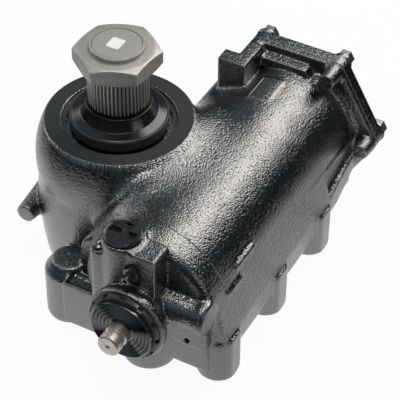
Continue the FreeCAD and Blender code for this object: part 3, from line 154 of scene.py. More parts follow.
def sand_grain_group():
    """The skin of a sand casting under paint: orange peel, coarser lumps, broad patches."""
    warp_scale, warp_reach = 300.0, 0.0018
    lump_size, patch_size = 0.0045, 0.03
    group, start, end = new_group("sand_grain", [
        ("Grain Size", "NodeSocketFloat", 0.0013),
        ("Lumps", "NodeSocketFloat", 0.5),
    ], [("Height", "NodeSocketFloat"), ("Roughness Shift", "NodeSocketFloat")])
    place = own_place(group)
    warp = add_node(group, "ShaderNodeTexNoise", {
        "Vector": place, "Scale": warp_scale, "Detail": 1.0,
    }).outputs["Color"]
    shift = add_node(group, "ShaderNodeVectorMath", {0: warp, 3: warp_reach},
                     operation="SCALE").outputs["Vector"]
    shifted = add_node(group, "ShaderNodeVectorMath", {0: place, 1: shift}).outputs["Vector"]
    scale = math_node(group, "DIVIDE", 1.0, start.outputs["Grain Size"])
    cells = add_node(group, "ShaderNodeTexVoronoi", {"Vector": shifted, "Scale": scale})
    peel = math_node(group, "POWER", cells.outputs["Distance"], 2.0)
    patches = speckle(group, place, patch_size)
    peel = math_node(group, "MULTIPLY", peel, stretch(group, patches, 0.3, 0.7, 0.8, 1.15))
    lumps = math_node(group, "MULTIPLY", speckle(group, place, lump_size, 1.0),
                      start.outputs["Lumps"])
    group.links.new(math_node(group, "SUBTRACT", lumps, peel), end.inputs["Height"])
    group.links.new(stretch(group, patches, 0.3, 0.7, -0.5, 0.5), end.inputs["Roughness Shift"])


def edge_highlight_and_dust_group():
    """Masks of the sharp edges and of the hollows, from the curvature of the mesh: the edge mask
    carries painted highlights, the hollow mask dust.
    """
    flat, jitter_size, jitter = 0.5, 0.004, 0.04
    edge_ramp, hollow_ramp = 0.08, 0.1
    group, start, end = new_group("edge_highlight_and_dust", [
        ("Width", "NodeSocketFloat", 0.04),
    ], [("Edges", "NodeSocketFloat"), ("Hollows", "NodeSocketFloat")])
    bend = add_node(group, "ShaderNodeNewGeometry").outputs["Pointiness"]
    grain = speckle(group, own_place(group), jitter_size, 3.0)
    ragged = math_node(group, "MULTIPLY", math_node(group, "SUBTRACT", grain, 0.5), jitter)
    bend = math_node(group, "ADD", bend, ragged)
    for mask, operation, ramp in (("Edges", "ADD", edge_ramp),
                                  ("Hollows", "SUBTRACT", hollow_ramp)):
        begin = math_node(group, operation, flat, start.outputs["Width"])
        full = math_node(group, operation, begin, ramp)
        group.links.new(stretch(group, bend, begin, full), end.inputs[mask])


def tool_marks_group():
    """Fine rings left by turning, about the Z axis of the coordinates that come in."""
    band_size, smear_size = 0.0035, 0.006
    group, start, end = new_group("tool_marks", [
        ("Vector", "NodeSocketVector", (0.0, 0.0, 0.0)),
        ("Pitch", "NodeSocketFloat", 0.0003),
    ], [("Height", "NodeSocketFloat"), ("Tint", "NodeSocketFloat")])
    place = start.outputs["Vector"]
    parts = split(group, place)
    profile = add_node(group, "ShaderNodeCombineXYZ", {
        "X": from_axis(group, parts), "Y": parts["Z"],
    }).outputs[0]
    scale = math_node(group, "DIVIDE", 1.0, start.outputs["Pitch"])
    rings = add_node(group, "ShaderNodeTexNoise", {
        "Vector": profile, "Scale": scale, "Detail": 2.0, "Roughness": 0.6,
    }).outputs["Fac"]
    bands = speckle(group, profile, band_size, 1.0)
    smear = speckle(group, place, smear_size, 4.0, 0.65)
    tint = math_node(group, "ADD", math_node(group, "MULTIPLY", bands, 0.5),
                     math_node(group, "MULTIPLY", smear, 0.5))
    group.links.new(rings, end.inputs["Height"])
    group.links.new(tint, end.inputs["Tint"])


# Materials

def new_material(name):
    """A new material with its node tree and its main shader."""
    material = bpy.data.materials.new(name)
    material.use_nodes = True
    tree = material.node_tree
    return material, tree, tree.nodes["Principled BSDF"]


def around_axis(tree, axis):
    """Object coordinates turned so that the given axis of the gear is their Z axis."""
    if axis == "sector":
        turn, centre = (0.0, 0.0, 0.0), (-SECTOR.x, -SECTOR.y, 0.0)
    else:
        turn, centre = (math.pi / 2, 0.0, 0.0), (-PISTON.x, PISTON.z, 0.0)
    return add_node(tree, "ShaderNodeMapping", {
        "Vector": own_place(tree), "Rotation": turn, "Location": centre,
    }).outputs["Vector"]


def bump(tree, shader, height, distance):
    """Let a height, times a distance in metres, tilt the surface."""
    node = add_node(tree, "ShaderNodeBump", {"Height": height, "Distance": distance})
    tree.links.new(node.outputs["Normal"], shader.inputs["Normal"])


def casting_paint(name, colour, gloss):
    """Black paint on a rough casting: glossy on the heights, dusty in the hollows, with a
    painted highlight on its sharp edges.
    """
    dust_lift, edge_highlight_lift = 0.012, 0.22
    patch_roughness, dust_roughness = 0.08, 0.18
    relief_depth = 0.0004
    material, tree, shader = new_material(name)
    sand = place_group(tree, "sand_grain", {"Grain Size": 0.002, "Lumps": 0.8})
    curvature_masks = place_group(tree, "edge_highlight_and_dust", {"Width": 0.022})
    tint = blend_colours(tree, curvature_masks["Hollows"], toned(colour), toned(colour, 1.6, dust_lift))
    # Painted highlight: the sharp edges are lightened, as if catching the light.
    tint = blend_colours(tree, curvature_masks["Edges"], tint, toned(colour, 1.0, edge_highlight_lift))
    tree.links.new(tint, shader.inputs["Base Color"])
    patches = math_node(tree, "MULTIPLY", sand["Roughness Shift"], patch_roughness)
    dust = math_node(tree, "MULTIPLY", curvature_masks["Hollows"], dust_roughness)
    rough = math_node(tree, "ADD", math_node(tree, "ADD", 1.0 - gloss, patches), dust)
    tree.links.new(rough, shader.inputs["Roughness"])
    shader.inputs["IOR"].default_value = 2.5
    relief = math_node(tree, "ADD", mould_seam(tree), pad_rim(tree))
    bump(tree, shader, math_node(tree, "ADD", sand["Height"], relief), relief_depth)
    return material


def mould_seam(tree):
    """A fine ridge round the top of the barrel, where two parts of the mould met."""
    seam_y, half_width, rise = -0.107, 0.0008, 0.9
    parts = split(tree, own_place(tree))
    away = math_node(tree, "ABSOLUTE", math_node(tree, "SUBTRACT", parts["Y"], seam_y))
    ridge = stretch(tree, away, 0.0, half_width, rise, 0.0)
    shown = math_node(tree, "MULTIPLY", stretch(tree, parts["Z"], 0.105, 0.12),
                      stretch(tree, parts["X"], 0.0, 0.02))
    return math_node(tree, "MULTIPLY", ridge, shown)


def pad_rim(tree):
    """The raised rim round the blank pad on the barrel, near the rear flange."""
    sides = (("X", 0.0, 0.023), ("Y", 0.130, 0.167))
    crest, foot, rise = 0.0003, 0.0011, 2.2
    parts = split(tree, own_place(tree))
    past = []
    for letter, low, high in sides:
        away = math_node(tree, "SUBTRACT", parts[letter], (low + high) / 2)
        away = math_node(tree, "ABSOLUTE", away)
        past.append(math_node(tree, "SUBTRACT", away, (high - low) / 2))
    outline = math_node(tree, "ABSOLUTE", math_node(tree, "MAXIMUM", *past))
    ridge = stretch(tree, outline, crest, foot, rise, 0.0)
    return math_node(tree, "MULTIPLY", ridge, stretch(tree, parts["Z"], 0.12, 0.13))


def flat_paint(name, colour):
    """Thin matte paint on a turned face, with turning marks and a few bright specks."""
    speck_size, speck_colour = 0.0032, (0.7, 0.7, 0.7, 1.0)
    material, tree, shader = new_material(name)
    place = around_axis(tree, "sector")
    marks = place_group(tree, "tool_marks", {"Vector": place, "Pitch": 0.0006})
    specks = stretch(tree, speckle(tree, place, speck_size, 4.0, 0.7), 0.77, 0.79)
    tint = blend_colours(tree, stretch(tree, marks["Tint"], 0.3, 0.7),
                         toned(colour, 0.7), toned(colour, 1.25))
    tint = blend_colours(tree, specks, tint, speck_colour)
    tree.links.new(tint, shader.inputs["Base Color"])
    tree.links.new(stretch(tree, marks["Tint"], 0.3, 0.7, 0.5, 0.62),
                   shader.inputs["Roughness"])
    shader.inputs["Specular IOR Level"].default_value = 0.3
    bump(tree, shader, marks["Height"], 0.00004)
    return material


def turned_metal(name, colour, roughness, axis, metallic=1.0, pitch=0.0003, stain=0.25):
    """A turned metal part: fine rings, stains that follow them, and a painted highlight on its
    sharp edges.
    """
    material, tree, shader = new_material(name)
    marks = place_group(tree, "tool_marks", {
        "Vector": around_axis(tree, axis), "Pitch": pitch,
    })
    curvature_masks = place_group(tree, "edge_highlight_and_dust", {"Width": 0.03})
    tint = blend_colours(tree, stretch(tree, marks["Tint"], 0.3, 0.7),
                         toned(colour, 1 - stain), toned(colour, 1 + stain * 0.6))
    # Painted highlight: the sharp edges are lightened, as if catching the light.
    tint = blend_colours(tree, curvature_masks["Edges"], tint, toned(colour, 1.35))
    tree.links.new(tint, shader.inputs["Base Color"])
    rough = stretch(tree, marks["Tint"], 0.25, 0.75, roughness + 0.06, roughness - 0.06)
    tree.links.new(rough, shader.inputs["Roughness"])
    shader.inputs["Metallic"].default_value = metallic
    bump(tree, shader, marks["Height"], 0.00003)
    return material


def serrated_steel(name, colour, paint, top, low):
    """The phosphated shaft: its grooves darkened by painted shade, with stray paint on its lower
    end.
    """
    metallic, groove_bottom, groove_mouth = 0.75, 0.0323, 0.0335
    groove_shade_share, groove_shade_tone = 0.8, 0.12
    run_in_groove, run_ragged, run_edge = 0.007, 0.006, 0.0006
    material = turned_metal(name, colour, 0.45, "sector", metallic, 0.0004, 0.25)
    tree = material.node_tree
    shader = tree.nodes["Principled BSDF"]
    place = around_axis(tree, "sector")
    parts = split(tree, place)
    deep = stretch(tree, from_axis(tree, parts), groove_bottom, groove_mouth, 1.0, 0.0)
    deep = math_node(tree, "MULTIPLY", deep, math_node(tree, "LESS_THAN", parts["Z"], top))
    ragged = math_node(tree, "MULTIPLY", speckle(tree, place, 0.004, 3.0), run_ragged)
    edge = math_node(tree, "ADD", math_node(tree, "MULTIPLY", deep, run_in_groove), ragged)
    painted = stretch(tree, math_node(tree, "SUBTRACT", parts["Z"], edge), low, low + run_edge,
                      1.0, 0.0)
    plain = shader.inputs["Base Color"].links[0].from_socket
    # Painted shade: the grooves are darkened, as if the light did not reach into them.
    tint = blend_colours(tree, math_node(tree, "MULTIPLY", deep, groove_shade_share), plain,
                         toned(colour, groove_shade_tone))
    tint = blend_colours(tree, painted, tint, toned(paint))
    tree.links.new(tint, shader.inputs["Base Color"])
    bare = math_node(tree, "SUBTRACT", 1.0, painted)
    tree.links.new(math_node(tree, "MULTIPLY", bare, metallic), shader.inputs["Metallic"])
    return material


def rubber(name, colour, roughness, ior, grain=0.0004):
    """Moulded rubber, plastic or smooth paint: a fine skin under an uneven film."""
    film_size = 0.012
    material, tree, shader = new_material(name)
    place = own_place(tree)
    film = speckle(tree, place, film_size, 3.0, 0.6)
    tint = blend_colours(tree, stretch(tree, film, 0.35, 0.7), toned(colour),
                         toned(colour, 1.7, 0.004))
    tree.links.new(tint, shader.inputs["Base Color"])
    tree.links.new(stretch(tree, film, 0.3, 0.7, roughness - 0.04, roughness + 0.05),
                   shader.inputs["Roughness"])
    shader.inputs["IOR"].default_value = ior
    bump(tree, shader, speckle(tree, place, grain, 3.0), 0.00004)
    return material


def label_paper(name, colour):
    """Slightly uneven white paper, left blank."""
    fibre_size = 0.0008
    material, tree, shader = new_material(name)
    fibres = speckle(tree, own_place(tree), fibre_size, 5.0, 0.6)
    tint = blend_colours(tree, stretch(tree, fibres, 0.3, 0.7), toned(colour, 0.95),
                         toned(colour))
    tree.links.new(tint, shader.inputs["Base Color"])
    tree.links.new(stretch(tree, fibres, 0.3, 0.7, 0.45, 0.6), shader.inputs["Roughness"])
    bump(tree, shader, fibres, 0.00002)
    return material


# Mesh tools

def smooth_by_angle_group():
    """Smooth shading for a mesh, except across its sharp edges."""
    group = bpy.data.node_groups.new("smooth_by_angle", "GeometryNodeTree")
    group.interface.new_socket("Geometry", in_out="INPUT", socket_type="NodeSocketGeometry")
    group.interface.new_socket("Geometry", in_out="OUTPUT", socket_type="NodeSocketGeometry")
    start = group.nodes.new("NodeGroupInput")
    end = group.nodes.new("NodeGroupOutput")
    angle = add_node(group, "GeometryNodeInputMeshEdgeAngle").outputs["Unsigned Angle"]
    soft = add_node(group, "FunctionNodeCompare", {0: angle, 1: math.radians(35)},
                    data_type="FLOAT", operation="LESS_THAN").outputs[0]
    faces = add_node(group, "GeometryNodeSetShadeSmooth", {
        "Geometry": start.outputs["Geometry"], "Shade Smooth": True,
    }, domain="FACE").outputs[0]
    edges = add_node(group, "GeometryNodeSetShadeSmooth", {
        "Geometry": faces, "Shade Smooth": soft,
    }, domain="EDGE").outputs[0]
    group.links.new(edges, end.inputs["Geometry"])


def wear_material(piece, *materials):
    """Give a piece these materials in place of its own."""
    piece.data.materials.clear()
    for material in materials:
        piece.data.materials.append(material)


def link_piece(name, mesh, body):
    """A new piece in the scene, riding on a body of the frame."""
    piece = bpy.data.objects.new(name, mesh)
    bpy.context.scene.collection.objects.link(piece)
    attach(piece, body)
    return piece


def finish_node(node, material, bevel):
    """Give a CAD node its material, small rounded edges and smooth shading."""
    piece = frame["nodes"][node]
    wear_material(piece, material)
    weld = piece.modifiers.new("weld", "WELD")
    weld.merge_threshold = 1e-6
    if bevel:
        edge = piece.modifiers.new("edges", "BEVEL")
        edge.width = bevel
        edge.segments = 2
        edge.limit_method = "ANGLE"
        edge.angle_limit = math.radians(32)
    smooth = piece.modifiers.new("shading", "NODES")
    smooth.node_group = bpy.data.node_groups["smooth_by_angle"]
    weigh = piece.modifiers.new("normals", "WEIGHTED_NORMAL")
    weigh.keep_sharp = True


def remeshed(node, voxel):
    """The node's solid as an even mesh of small quads."""
    piece = bpy.data.objects.new(node + "_source", frame["nodes"][node].data.copy())
    bpy.context.scene.collection.objects.link(piece)
    change = piece.modifiers.new("voxels", "REMESH")
    change.mode = "VOXEL"
    change.voxel_size = voxel
    graph = bpy.context.evaluated_depsgraph_get()
    mesh = bpy.data.meshes.new_from_object(piece.evaluated_get(graph))
    rough = piece.data
    bpy.data.objects.remove(piece)
    bpy.data.meshes.remove(rough)
    return mesh


def read_vectors(items, key):
    """One vector of each item, as the rows of an array."""
    values = np.empty(len(items) * 3, np.float32)
    items.foreach_get(key, values)
    return values.reshape(-1, 3).astype(float)


def relax(points, normals, edges, weight, fill, ease, rounds):
    """Smooth the points, letting hollows fill by up to one depth and edges lose another."""
    chosen = np.flatnonzero(weight)
    total = len(chosen)
    index = np.full(len(points), -1)
    index[chosen] = np.arange(total)
    near, far = index[edges].T
    inside = (near >= 0) & (far >= 0)
    near, far = near[inside], far[inside]
    count = np.bincount(near, minlength=total) + np.bincount(far, minlength=total)
    count = np.maximum(count, 1)[:, None]
    pull = 0.6
    first, normals, share = points[chosen], normals[chosen], pull * weight[chosen][:, None]
    moved = first.copy()
    for _ in range(rounds):
        around = np.stack([
            np.bincount(near, moved[far, k], total) + np.bincount(far, moved[near, k], total)
            for k in range(3)
        ], axis=1)
        moved += (around / count - moved) * share
        height = ((moved - first) * normals).sum(axis=1)
        moved -= normals * (height - np.clip(height, -ease, fill))[:, None]
    points = points.copy()
    points[chosen] = moved
    return points


def near_egg(points, centre, radii):
    """One inside an egg-shaped region, falling to nothing at its surface."""
    steepness = 3.0
    squared = (((points - centre) / radii) ** 2).sum(axis=1)
    return np.clip((1.0 - squared) * steepness, 0.0, 1.0)


def in_zone(points, zone):
    """Which points lie inside a cylinder: (axis letter, centre, radius, low, high)."""
    axis, centre, radius, low, high = zone
    along = "XYZ".index(axis)
    across = [k for k in range(3) if k != along]
    distance = np.hypot(points[:, across[0]] - centre[0], points[:, across[1]] - centre[1])
    return (distance < radius) & (points[:, along] > low) & (points[:, along] < high)


def cast_skin(node, name, voxel, fill, ease, rounds, waves=0.0, zones=(), eggs=()):
    """A casting's outer skin: corners filled in, edges eased, and faint waves of sand.

    The zones stay as the CAD has them. Each egg is smoothed first, with its own limits:
    (centre, radii, fill, ease, rounds).
    """
    mesh = remeshed(node, voxel)
    points = read_vectors(mesh.vertices, "co")
    normals = read_vectors(mesh.vertices, "normal")
    edges = np.empty(len(mesh.edges) * 2, np.int32)
    mesh.edges.foreach_get("vertices", edges)
    edges = edges.reshape(-1, 2)
    weight = np.ones(len(points))
    for zone in zones:
        weight[in_zone(points, zone)] = 0.0
    for centre, radii, egg_fill, egg_ease, egg_rounds in eggs:
        share = near_egg(points, centre, radii) * weight
        points = relax(points, normals, edges, share, egg_fill, egg_ease, egg_rounds)
    points = relax(points, normals, edges, weight, fill, ease, rounds)
    if waves:
        broad, fine, sunk = 55.0, 420.0, 0.3
        for k in np.flatnonzero(weight):
            spot = Vector(points[k])
            lift = noise.noise(spot * broad) * 0.6 + noise.noise(spot * fine) * 0.25
            points[k] += normals[k] * (lift - sunk) * waves
    low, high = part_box(node)
    points = np.clip(points, np.array(low), np.array(high))
    mesh.vertices.foreach_set("co", points.astype(np.float32).ravel())
    mesh.update()
    for polygon in mesh.polygons:
        polygon.use_smooth = True
    piece = link_piece(name, mesh, "housing_body")
    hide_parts(node)
    return piece


# Settings that a user would change

class GearCastingSettings(PropertyGroup):
    paint: FloatVectorProperty(
        name="Paint", description="Colour of the paint on the castings", subtype="COLOR",
        size=3, min=0.0, max=1.0, default=(0.007, 0.008, 0.0095))
    machined: FloatVectorProperty(
        name="Machined Faces", description="Colour of the matte paint on the tower's top",
        subtype="COLOR", size=3, min=0.0, max=1.0, default=(0.030, 0.034, 0.037))
    gloss: FloatProperty(
        name="Gloss", description="How sharply the castings mirror the studio",
        subtype="FACTOR", min=0.0, max=1.0, default=0.9)
    voxel: FloatProperty(
        name="Mesh Size", description="Side of the small quads that the castings are made of",
        unit="LENGTH", min=0.0008, max=0.005, default=0.0013, precision=4)
    fill: FloatProperty(
        name="Corner Fill", description="How far the hollows of the castings fill up",
        unit="LENGTH", min=0.0, max=0.02, default=0.003, precision=4)
    ease: FloatProperty(
        name="Edge Ease", description="How much the castings' outer edges are rounded off",
        unit="LENGTH", min=0.0, max=0.005, default=0.0005, precision=4)
    rounds: IntProperty(
        name="Smoothing Rounds", description="How often the castings' surface is smoothed",
        min=0, max=200, default=12)
    waves: FloatProperty(
        name="Sand Waves", description="Depth of the castings' unevenness",
        unit="LENGTH", min=0.0, max=0.002, default=0.0001, precision=5)


class GearMetalSettings(PropertyGroup):
    phosphate: FloatVectorProperty(
        name="Phosphated Steel", description="Colour of the sector shaft and its nut",
        subtype="COLOR", size=3, min=0.0, max=1.0, default=(0.50, 0.483, 0.455))
    ground: FloatVectorProperty(
        name="Ground Steel", description="Colour of the input shaft and the inner parts",
        subtype="COLOR", size=3, min=0.0, max=1.0, default=(0.74, 0.67, 0.61))
    blackened: FloatVectorProperty(
        name="Blackened Steel", description="Colour of the screws, nuts and rings",
        subtype="COLOR", size=3, min=0.0, max=1.0, default=(0.10, 0.10, 0.105))
    bolts: FloatVectorProperty(
        name="Bolt Steel", description="Colour of the rear cover's bolts", subtype="COLOR",
        size=3, min=0.0, max=1.0, default=(0.50, 0.50, 0.49))
    bronze: FloatVectorProperty(
        name="Bronze", description="Colour of the bushes", subtype="COLOR", size=3,
        min=0.0, max=1.0, default=(0.55, 0.38, 0.16))


class GearSoftSettings(PropertyGroup):
    rubber: FloatVectorProperty(
        name="Rubber", description="Colour of the boot and the seals", subtype="COLOR",
        size=3, min=0.0, max=1.0, default=(0.008, 0.0085, 0.0095))
    plastic: FloatVectorProperty(
        name="Plastic", description="Colour of the transport plugs", subtype="COLOR",
        size=3, min=0.0, max=1.0, default=(0.012, 0.0125, 0.014))
    paper: FloatVectorProperty(
        name="Label", description="Colour of the blank label", subtype="COLOR",
        size=3, min=0.0, max=1.0, default=(0.93, 0.93, 0.92))


class GearStageSettings(PropertyGroup):
    floor: FloatVectorProperty(
        name="Floor", description="Colour of the floor", subtype="COLOR", size=3,
        min=0.0, max=1.0, default=(0.9, 0.9, 0.9))
    key_light: FloatProperty(
        name="Key Light", description="Brightness of the large lamp above and behind",
        min=0.0, max=50.0, default=3.7)
    top_light: FloatProperty(
        name="Top Light", description="Brightness of the lamp overhead",
        min=0.0, max=50.0, default=3.6)
    left_light: FloatProperty(
        name="Left Light", description="Brightness of the lamp on the left",
        min=0.0, max=50.0, default=1.6)
    right_light: FloatProperty(
        name="Right Light", description="Brightness of the lamp on the right",
        min=0.0, max=50.0, default=1.2)
    focal_length: FloatProperty(
        name="Focal Length", description="Focal length of the camera", unit="CAMERA",
        min=10.0, max=500.0, default=152.38)


class GearSettings(PropertyGroup):
    casting: PointerProperty(type=GearCastingSettings)
    metal: PointerProperty(type=GearMetalSettings)
    soft: PointerProperty(type=GearSoftSettings)
    stage: PointerProperty(type=GearStageSettings)


# Operators, one for each group of pieces

class GEAR_OT_casting(Operator):
    """Make the painted skin of the housing casting"""
    bl_idname = "gear.casting"
    bl_label = "Housing Casting"

    def execute(self, context):
        settings = context.scene.gear.casting
        sector, piston = (SECTOR.x, SECTOR.y), (PISTON.x, PISTON.z)
        machined = [
            # the tower's top face, its mouth, and the gear chamber below
            ("Z", sector, 0.0838, TOWER_TOP - 0.0012, TOWER_TOP + 0.002),
            ("Z", sector, 0.0675, 0.1300, TOWER_TOP + 0.002),
            ("Z", sector, 0.0845, -1.0, 0.1400),
            # the cylinder, the valve bore, and the mouth of the nose
            ("Y", piston, 0.0606, -0.1380, 1.0),
            ("Y", piston, 0.0390, -1.0, -0.1300),
            ("Y", piston, 0.0480, -1.0, -0.1830),
            # the flange's rear face, where the cover is bolted on
            ("Y", piston, 0.2000, 0.2085, 1.0),
        ]
        tower_to_barrel = ((-0.045, -0.010, 0.165), (0.105, 0.150, 0.075), 0.022, 0.009, 420)
        piece = cast_skin("housing", "casting_skin", settings.voxel, settings.fill,
                          settings.ease, settings.rounds, settings.waves, machined,
                          [tower_to_barrel])
        paint = casting_paint("gloss_casting_paint", settings.paint, settings.gloss)
        ring = flat_paint("matte_tower_paint", settings.machined)
        wear_material(piece, paint, ring)
        top_radius, level, upright = 0.086, 0.0003, 0.97
        for polygon in piece.data.polygons:
            on_top = abs(polygon.center.z - TOWER_TOP) < level and polygon.normal.z > upright
            if on_top and (polygon.center - SECTOR).xy.length < top_radius:
                polygon.material_index = 1
        return {"FINISHED"}


class GEAR_OT_covers(Operator):
    """Make the painted skins of the rear and bottom covers"""
    bl_idname = "gear.covers"
    bl_label = "Covers"

    def execute(self, context):
        settings = context.scene.gear.casting
        paint = bpy.data.materials["gloss_casting_paint"]
        for node in ("rear_cover", "bottom_cover"):
            piece = cast_skin(node, node + "_skin", settings.voxel * 0.6, fill=0.002,
                              ease=0.0006, rounds=5)
            wear_material(piece, paint)
        return {"FINISHED"}


class GEAR_OT_shaft_end(Operator):
    """Finish the sector shaft, its nut and the blank label"""
    bl_idname = "gear.shaft_end"
    bl_label = "Sector Shaft and Nut"

    def execute(self, context):
        settings = context.scene.gear
        metal = settings.metal
        phosphate = turned_metal("phosphated_steel", metal.phosphate, 0.5, "sector",
                                 metallic=0.75, pitch=0.0004, stain=0.2)
        serrated = serrated_steel("serrated_steel", metal.phosphate, settings.soft.rubber,
                                  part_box("shaft_nut")[0].z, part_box("dust_boot")[1].z)
        finish_node("sector_shaft", serrated, 0)
        finish_node("shaft_nut", phosphate, 0.0006)
        finish_node("end_label", label_paper("blank_label", settings.soft.paper), 0)
        return {"FINISHED"}


class GEAR_OT_boot(Operator):
    """Finish the dust boot, its band and the snap ring in the tower"""
    bl_idname = "gear.boot"
    bl_label = "Boot and Rings"

    def execute(self, context):
        settings = context.scene.gear
        boot = rubber("boot_rubber", settings.soft.rubber, 0.12, 1.6)
        ring = turned_metal("blackened_ring", settings.metal.blackened, 0.28, "sector", 0.6)
        finish_node("dust_boot", boot, 0.0005)
        finish_node("boot_ring", ring, 0.0004)
        finish_node("retaining_ring", ring, 0.0003)
        return {"FINISHED"}


class GEAR_OT_input(Operator):
    """Finish the input shaft, its ribbed seal and the castellated ring"""
    bl_idname = "gear.input"
    bl_label = "Input End"

    def execute(self, context):
        settings = context.scene.gear
        ground = turned_metal("ground_steel", settings.metal.ground, 0.42, "piston")
        black = turned_metal("blackened_steel", settings.metal.blackened, 0.3, "piston", 0.6)
        seal = rubber("seal_rubber", settings.soft.rubber, 0.16, 2.2)
        finish_node("input_shaft", ground, 0.0003)
        finish_node("bearing_adjuster", black, 0.0005)
        finish_node("input_dust_seal", seal, 0.0002)
        return {"FINISHED"}


class GEAR_OT_fittings(Operator):
    """Finish the plugs, the limiter screw, the nipple and the lash screw"""
    bl_idname = "gear.fittings"
    bl_label = "Plugs and Fittings"

    def execute(self, context):
        settings = context.scene.gear
        black = bpy.data.materials["blackened_steel"]
        painted = rubber("fitting_paint", settings.soft.plastic, 0.12, 2.4, 0.0008)
        plastic = rubber("plug_plastic", settings.soft.plastic, 0.1, 1.5, 0.0006)
        for node in ("port_plug", "return_plug"):
            finish_node(node, plastic, 0.0004)
        for node in ("limiter_screw", "limiter_nut", "bleed_nipple"):
            finish_node(node, painted, 0.0005)
        for node in ("lash_screw", "lash_nut", "bottom_retaining_ring"):
            finish_node(node, black, 0.0004)
        bolts = turned_metal("bolt_steel", settings.metal.bolts, 0.3, "piston")
        finish_node("rear_cover_bolts", bolts, 0.0006)
        return {"FINISHED"}


class GEAR_OT_inner_works(Operator):
    """Finish the parts inside the housing"""
    bl_idname = "gear.inner_works"
    bl_label = "Inner Works"

    def execute(self, context):
        settings = context.scene.gear
        ground = bpy.data.materials["ground_steel"]
        bronze = turned_metal("bush_bronze", settings.metal.bronze, 0.35, "sector")
        seal = bpy.data.materials["seal_rubber"]
        groups = {
            ground: ("piston_rack", "piston_end_plug", "worm", "recirculating_balls",
                     "valve_sleeve", "torsion_bar", "rear_thrust_bearing",
                     "front_thrust_bearing", "sector_backup_washer", "lash_retainer"),
            bronze: ("upper_sector_bearing", "lower_sector_bearing", "input_needle_bearing"),
            seal: ("rear_cover_seal", "piston_ring", "sleeve_rings", "input_oil_seal",
                   "sector_oil_seal"),
        }
        for material, nodes in groups.items():
            for node in nodes:
                finish_node(node, material, 0)
        return {"FINISHED"}


class GEAR_OT_stage(Operator):
    """Set up the floor, the soft studio light and the camera"""
    bl_idname = "gear.stage"
    bl_label = "Stage"

    def execute(self, context):
        settings = context.scene.gear.stage
        make_floor(settings.floor)
        make_world()
        make_lamp("key_lamp", (0.195, 0.65, 0.71), 1.7, (1.13, 1.3), settings.key_light)
        make_lamp("top_lamp", (0.02, -0.12, 1.0), 1.6, (0.9, 0.8), settings.top_light)
        make_lamp("left_lamp", (-0.93, 0.10, 0.33), 1.5, (1.0, 0.9), settings.left_light)
        make_lamp("right_lamp", (0.93, -0.12, 0.30), 1.6, (0.8, 0.6), settings.right_light)
        make_camera(settings.focal_length)
        context.scene.view_settings.view_transform = "Standard"
        return {"FINISHED"}


def make_floor(colour):
    """A pale floor that keeps the object's shadow and hides nothing from below."""
    half, drop = 4.0, 0.0005
    camera_share = 0.95
    pool_centre, pool_core, pool_edge = (-0.12, 0.08, 0.0), 0.25, 0.7
    corners = [(-half, -half, 0), (half, -half, 0), (half, half, 0), (-half, half, 0)]
    mesh = bpy.data.meshes.new("floor")
    mesh.from_pydata(corners, [], [(0, 1, 2, 3)])
    floor = bpy.data.objects.new("floor", mesh)
    floor.location.z = -drop
    bpy.context.scene.collection.objects.link(floor)
    material, tree, shader = new_material("pale_floor")
    place = own_place(tree)
    tint = blend_colours(tree, speckle(tree, place, 0.4), toned(colour, 0.99), toned(colour))
    tree.links.new(tint, shader.inputs["Base Color"])
    shader.inputs["Roughness"].default_value = 0.9
    shader.inputs["Specular IOR Level"].default_value = 0.0
    glow = add_node(tree, "ShaderNodeEmission", {"Color": (1, 1, 1, 1), "Strength": 1.0})
    path = add_node(tree, "ShaderNodeLightPath").outputs
    camera, mirror = path["Is Camera Ray"], path["Is Glossy Ray"]
    distance = add_node(tree, "ShaderNodeVectorMath", {0: place, 1: pool_centre},
                        operation="DISTANCE").outputs["Value"]
    # Full white to the camera; in the object's reflections, white near it and dark further off.
    pool = stretch(tree, distance, pool_core, pool_edge, 1.0, 0.0)
    pool = math_node(tree, "MULTIPLY", pool, math_node(tree, "SUBTRACT", 1.0, camera))
    tree.links.new(math_node(tree, "ADD", pool, camera), glow.inputs["Strength"])
    share = math_node(tree, "MAXIMUM", math_node(tree, "MULTIPLY", camera, camera_share), mirror)
    mix = add_node(tree, "ShaderNodeMixShader", {
        0: share, 1: shader.outputs["BSDF"], 2: glow.outputs["Emission"],
    })
    below = add_node(tree, "ShaderNodeNewGeometry").outputs["Backfacing"]
    clear = add_node(tree, "ShaderNodeBsdfTransparent").outputs["BSDF"]
    open_below = add_node(tree, "ShaderNodeMixShader", {0: below, 1: mix.outputs[0], 2: clear})
    tree.links.new(open_below.outputs[0], tree.nodes["Material Output"].inputs["Surface"])
    wear_material(floor, material)


def make_world():
    """White to the camera; to the object, a bluish room that is dark near its horizon."""
    room, white = (0.72, 0.90, 1.0, 1.0), (1.0, 1.0, 1.0, 1.0)
    horizon_level, top_level = 0.03, 0.3
    left_gain, right_gain = 1.6, 0.6
    world = bpy.data.worlds.new("studio")
    bpy.context.scene.world = world
    world.use_nodes = True
    tree = world.node_tree
    base = tree.nodes["Background"]
    parts = split(tree, add_node(tree, "ShaderNodeTexCoord").outputs["Generated"])
    height = stretch(tree, parts["Z"], 0.0, 0.9, horizon_level, top_level)
    side = stretch(tree, parts["X"], -1.0, 0.6, left_gain, right_gain)
    seen = add_node(tree, "ShaderNodeLightPath").outputs["Is Camera Ray"]
    level = math_node(tree, "MAXIMUM", math_node(tree, "MULTIPLY", height, side), seen)
    tree.links.new(blend_colours(tree, seen, room, white), base.inputs["Color"])
    tree.links.new(level, base.inputs["Strength"])


def make_lamp(name, way, distance, size, radiance):
    """A rectangular lamp facing the gear; its brightness is that of its surface."""
    warm, aim = (1.0, 0.95, 0.90), Vector((0.0, 0.0, 0.12))
    lamp = bpy.data.lights.new(name, "AREA")
    lamp.shape = "RECTANGLE"
    lamp.size, lamp.size_y = size
    lamp.energy = radiance * math.pi * size[0] * size[1]
    lamp.color = warm
    item = bpy.data.objects.new(name, lamp)
    way = Vector(way).normalized()
    item.location = aim + way * distance
    item.rotation_euler = way.to_track_quat("Z", "Y").to_euler()
    bpy.context.scene.collection.objects.link(item)


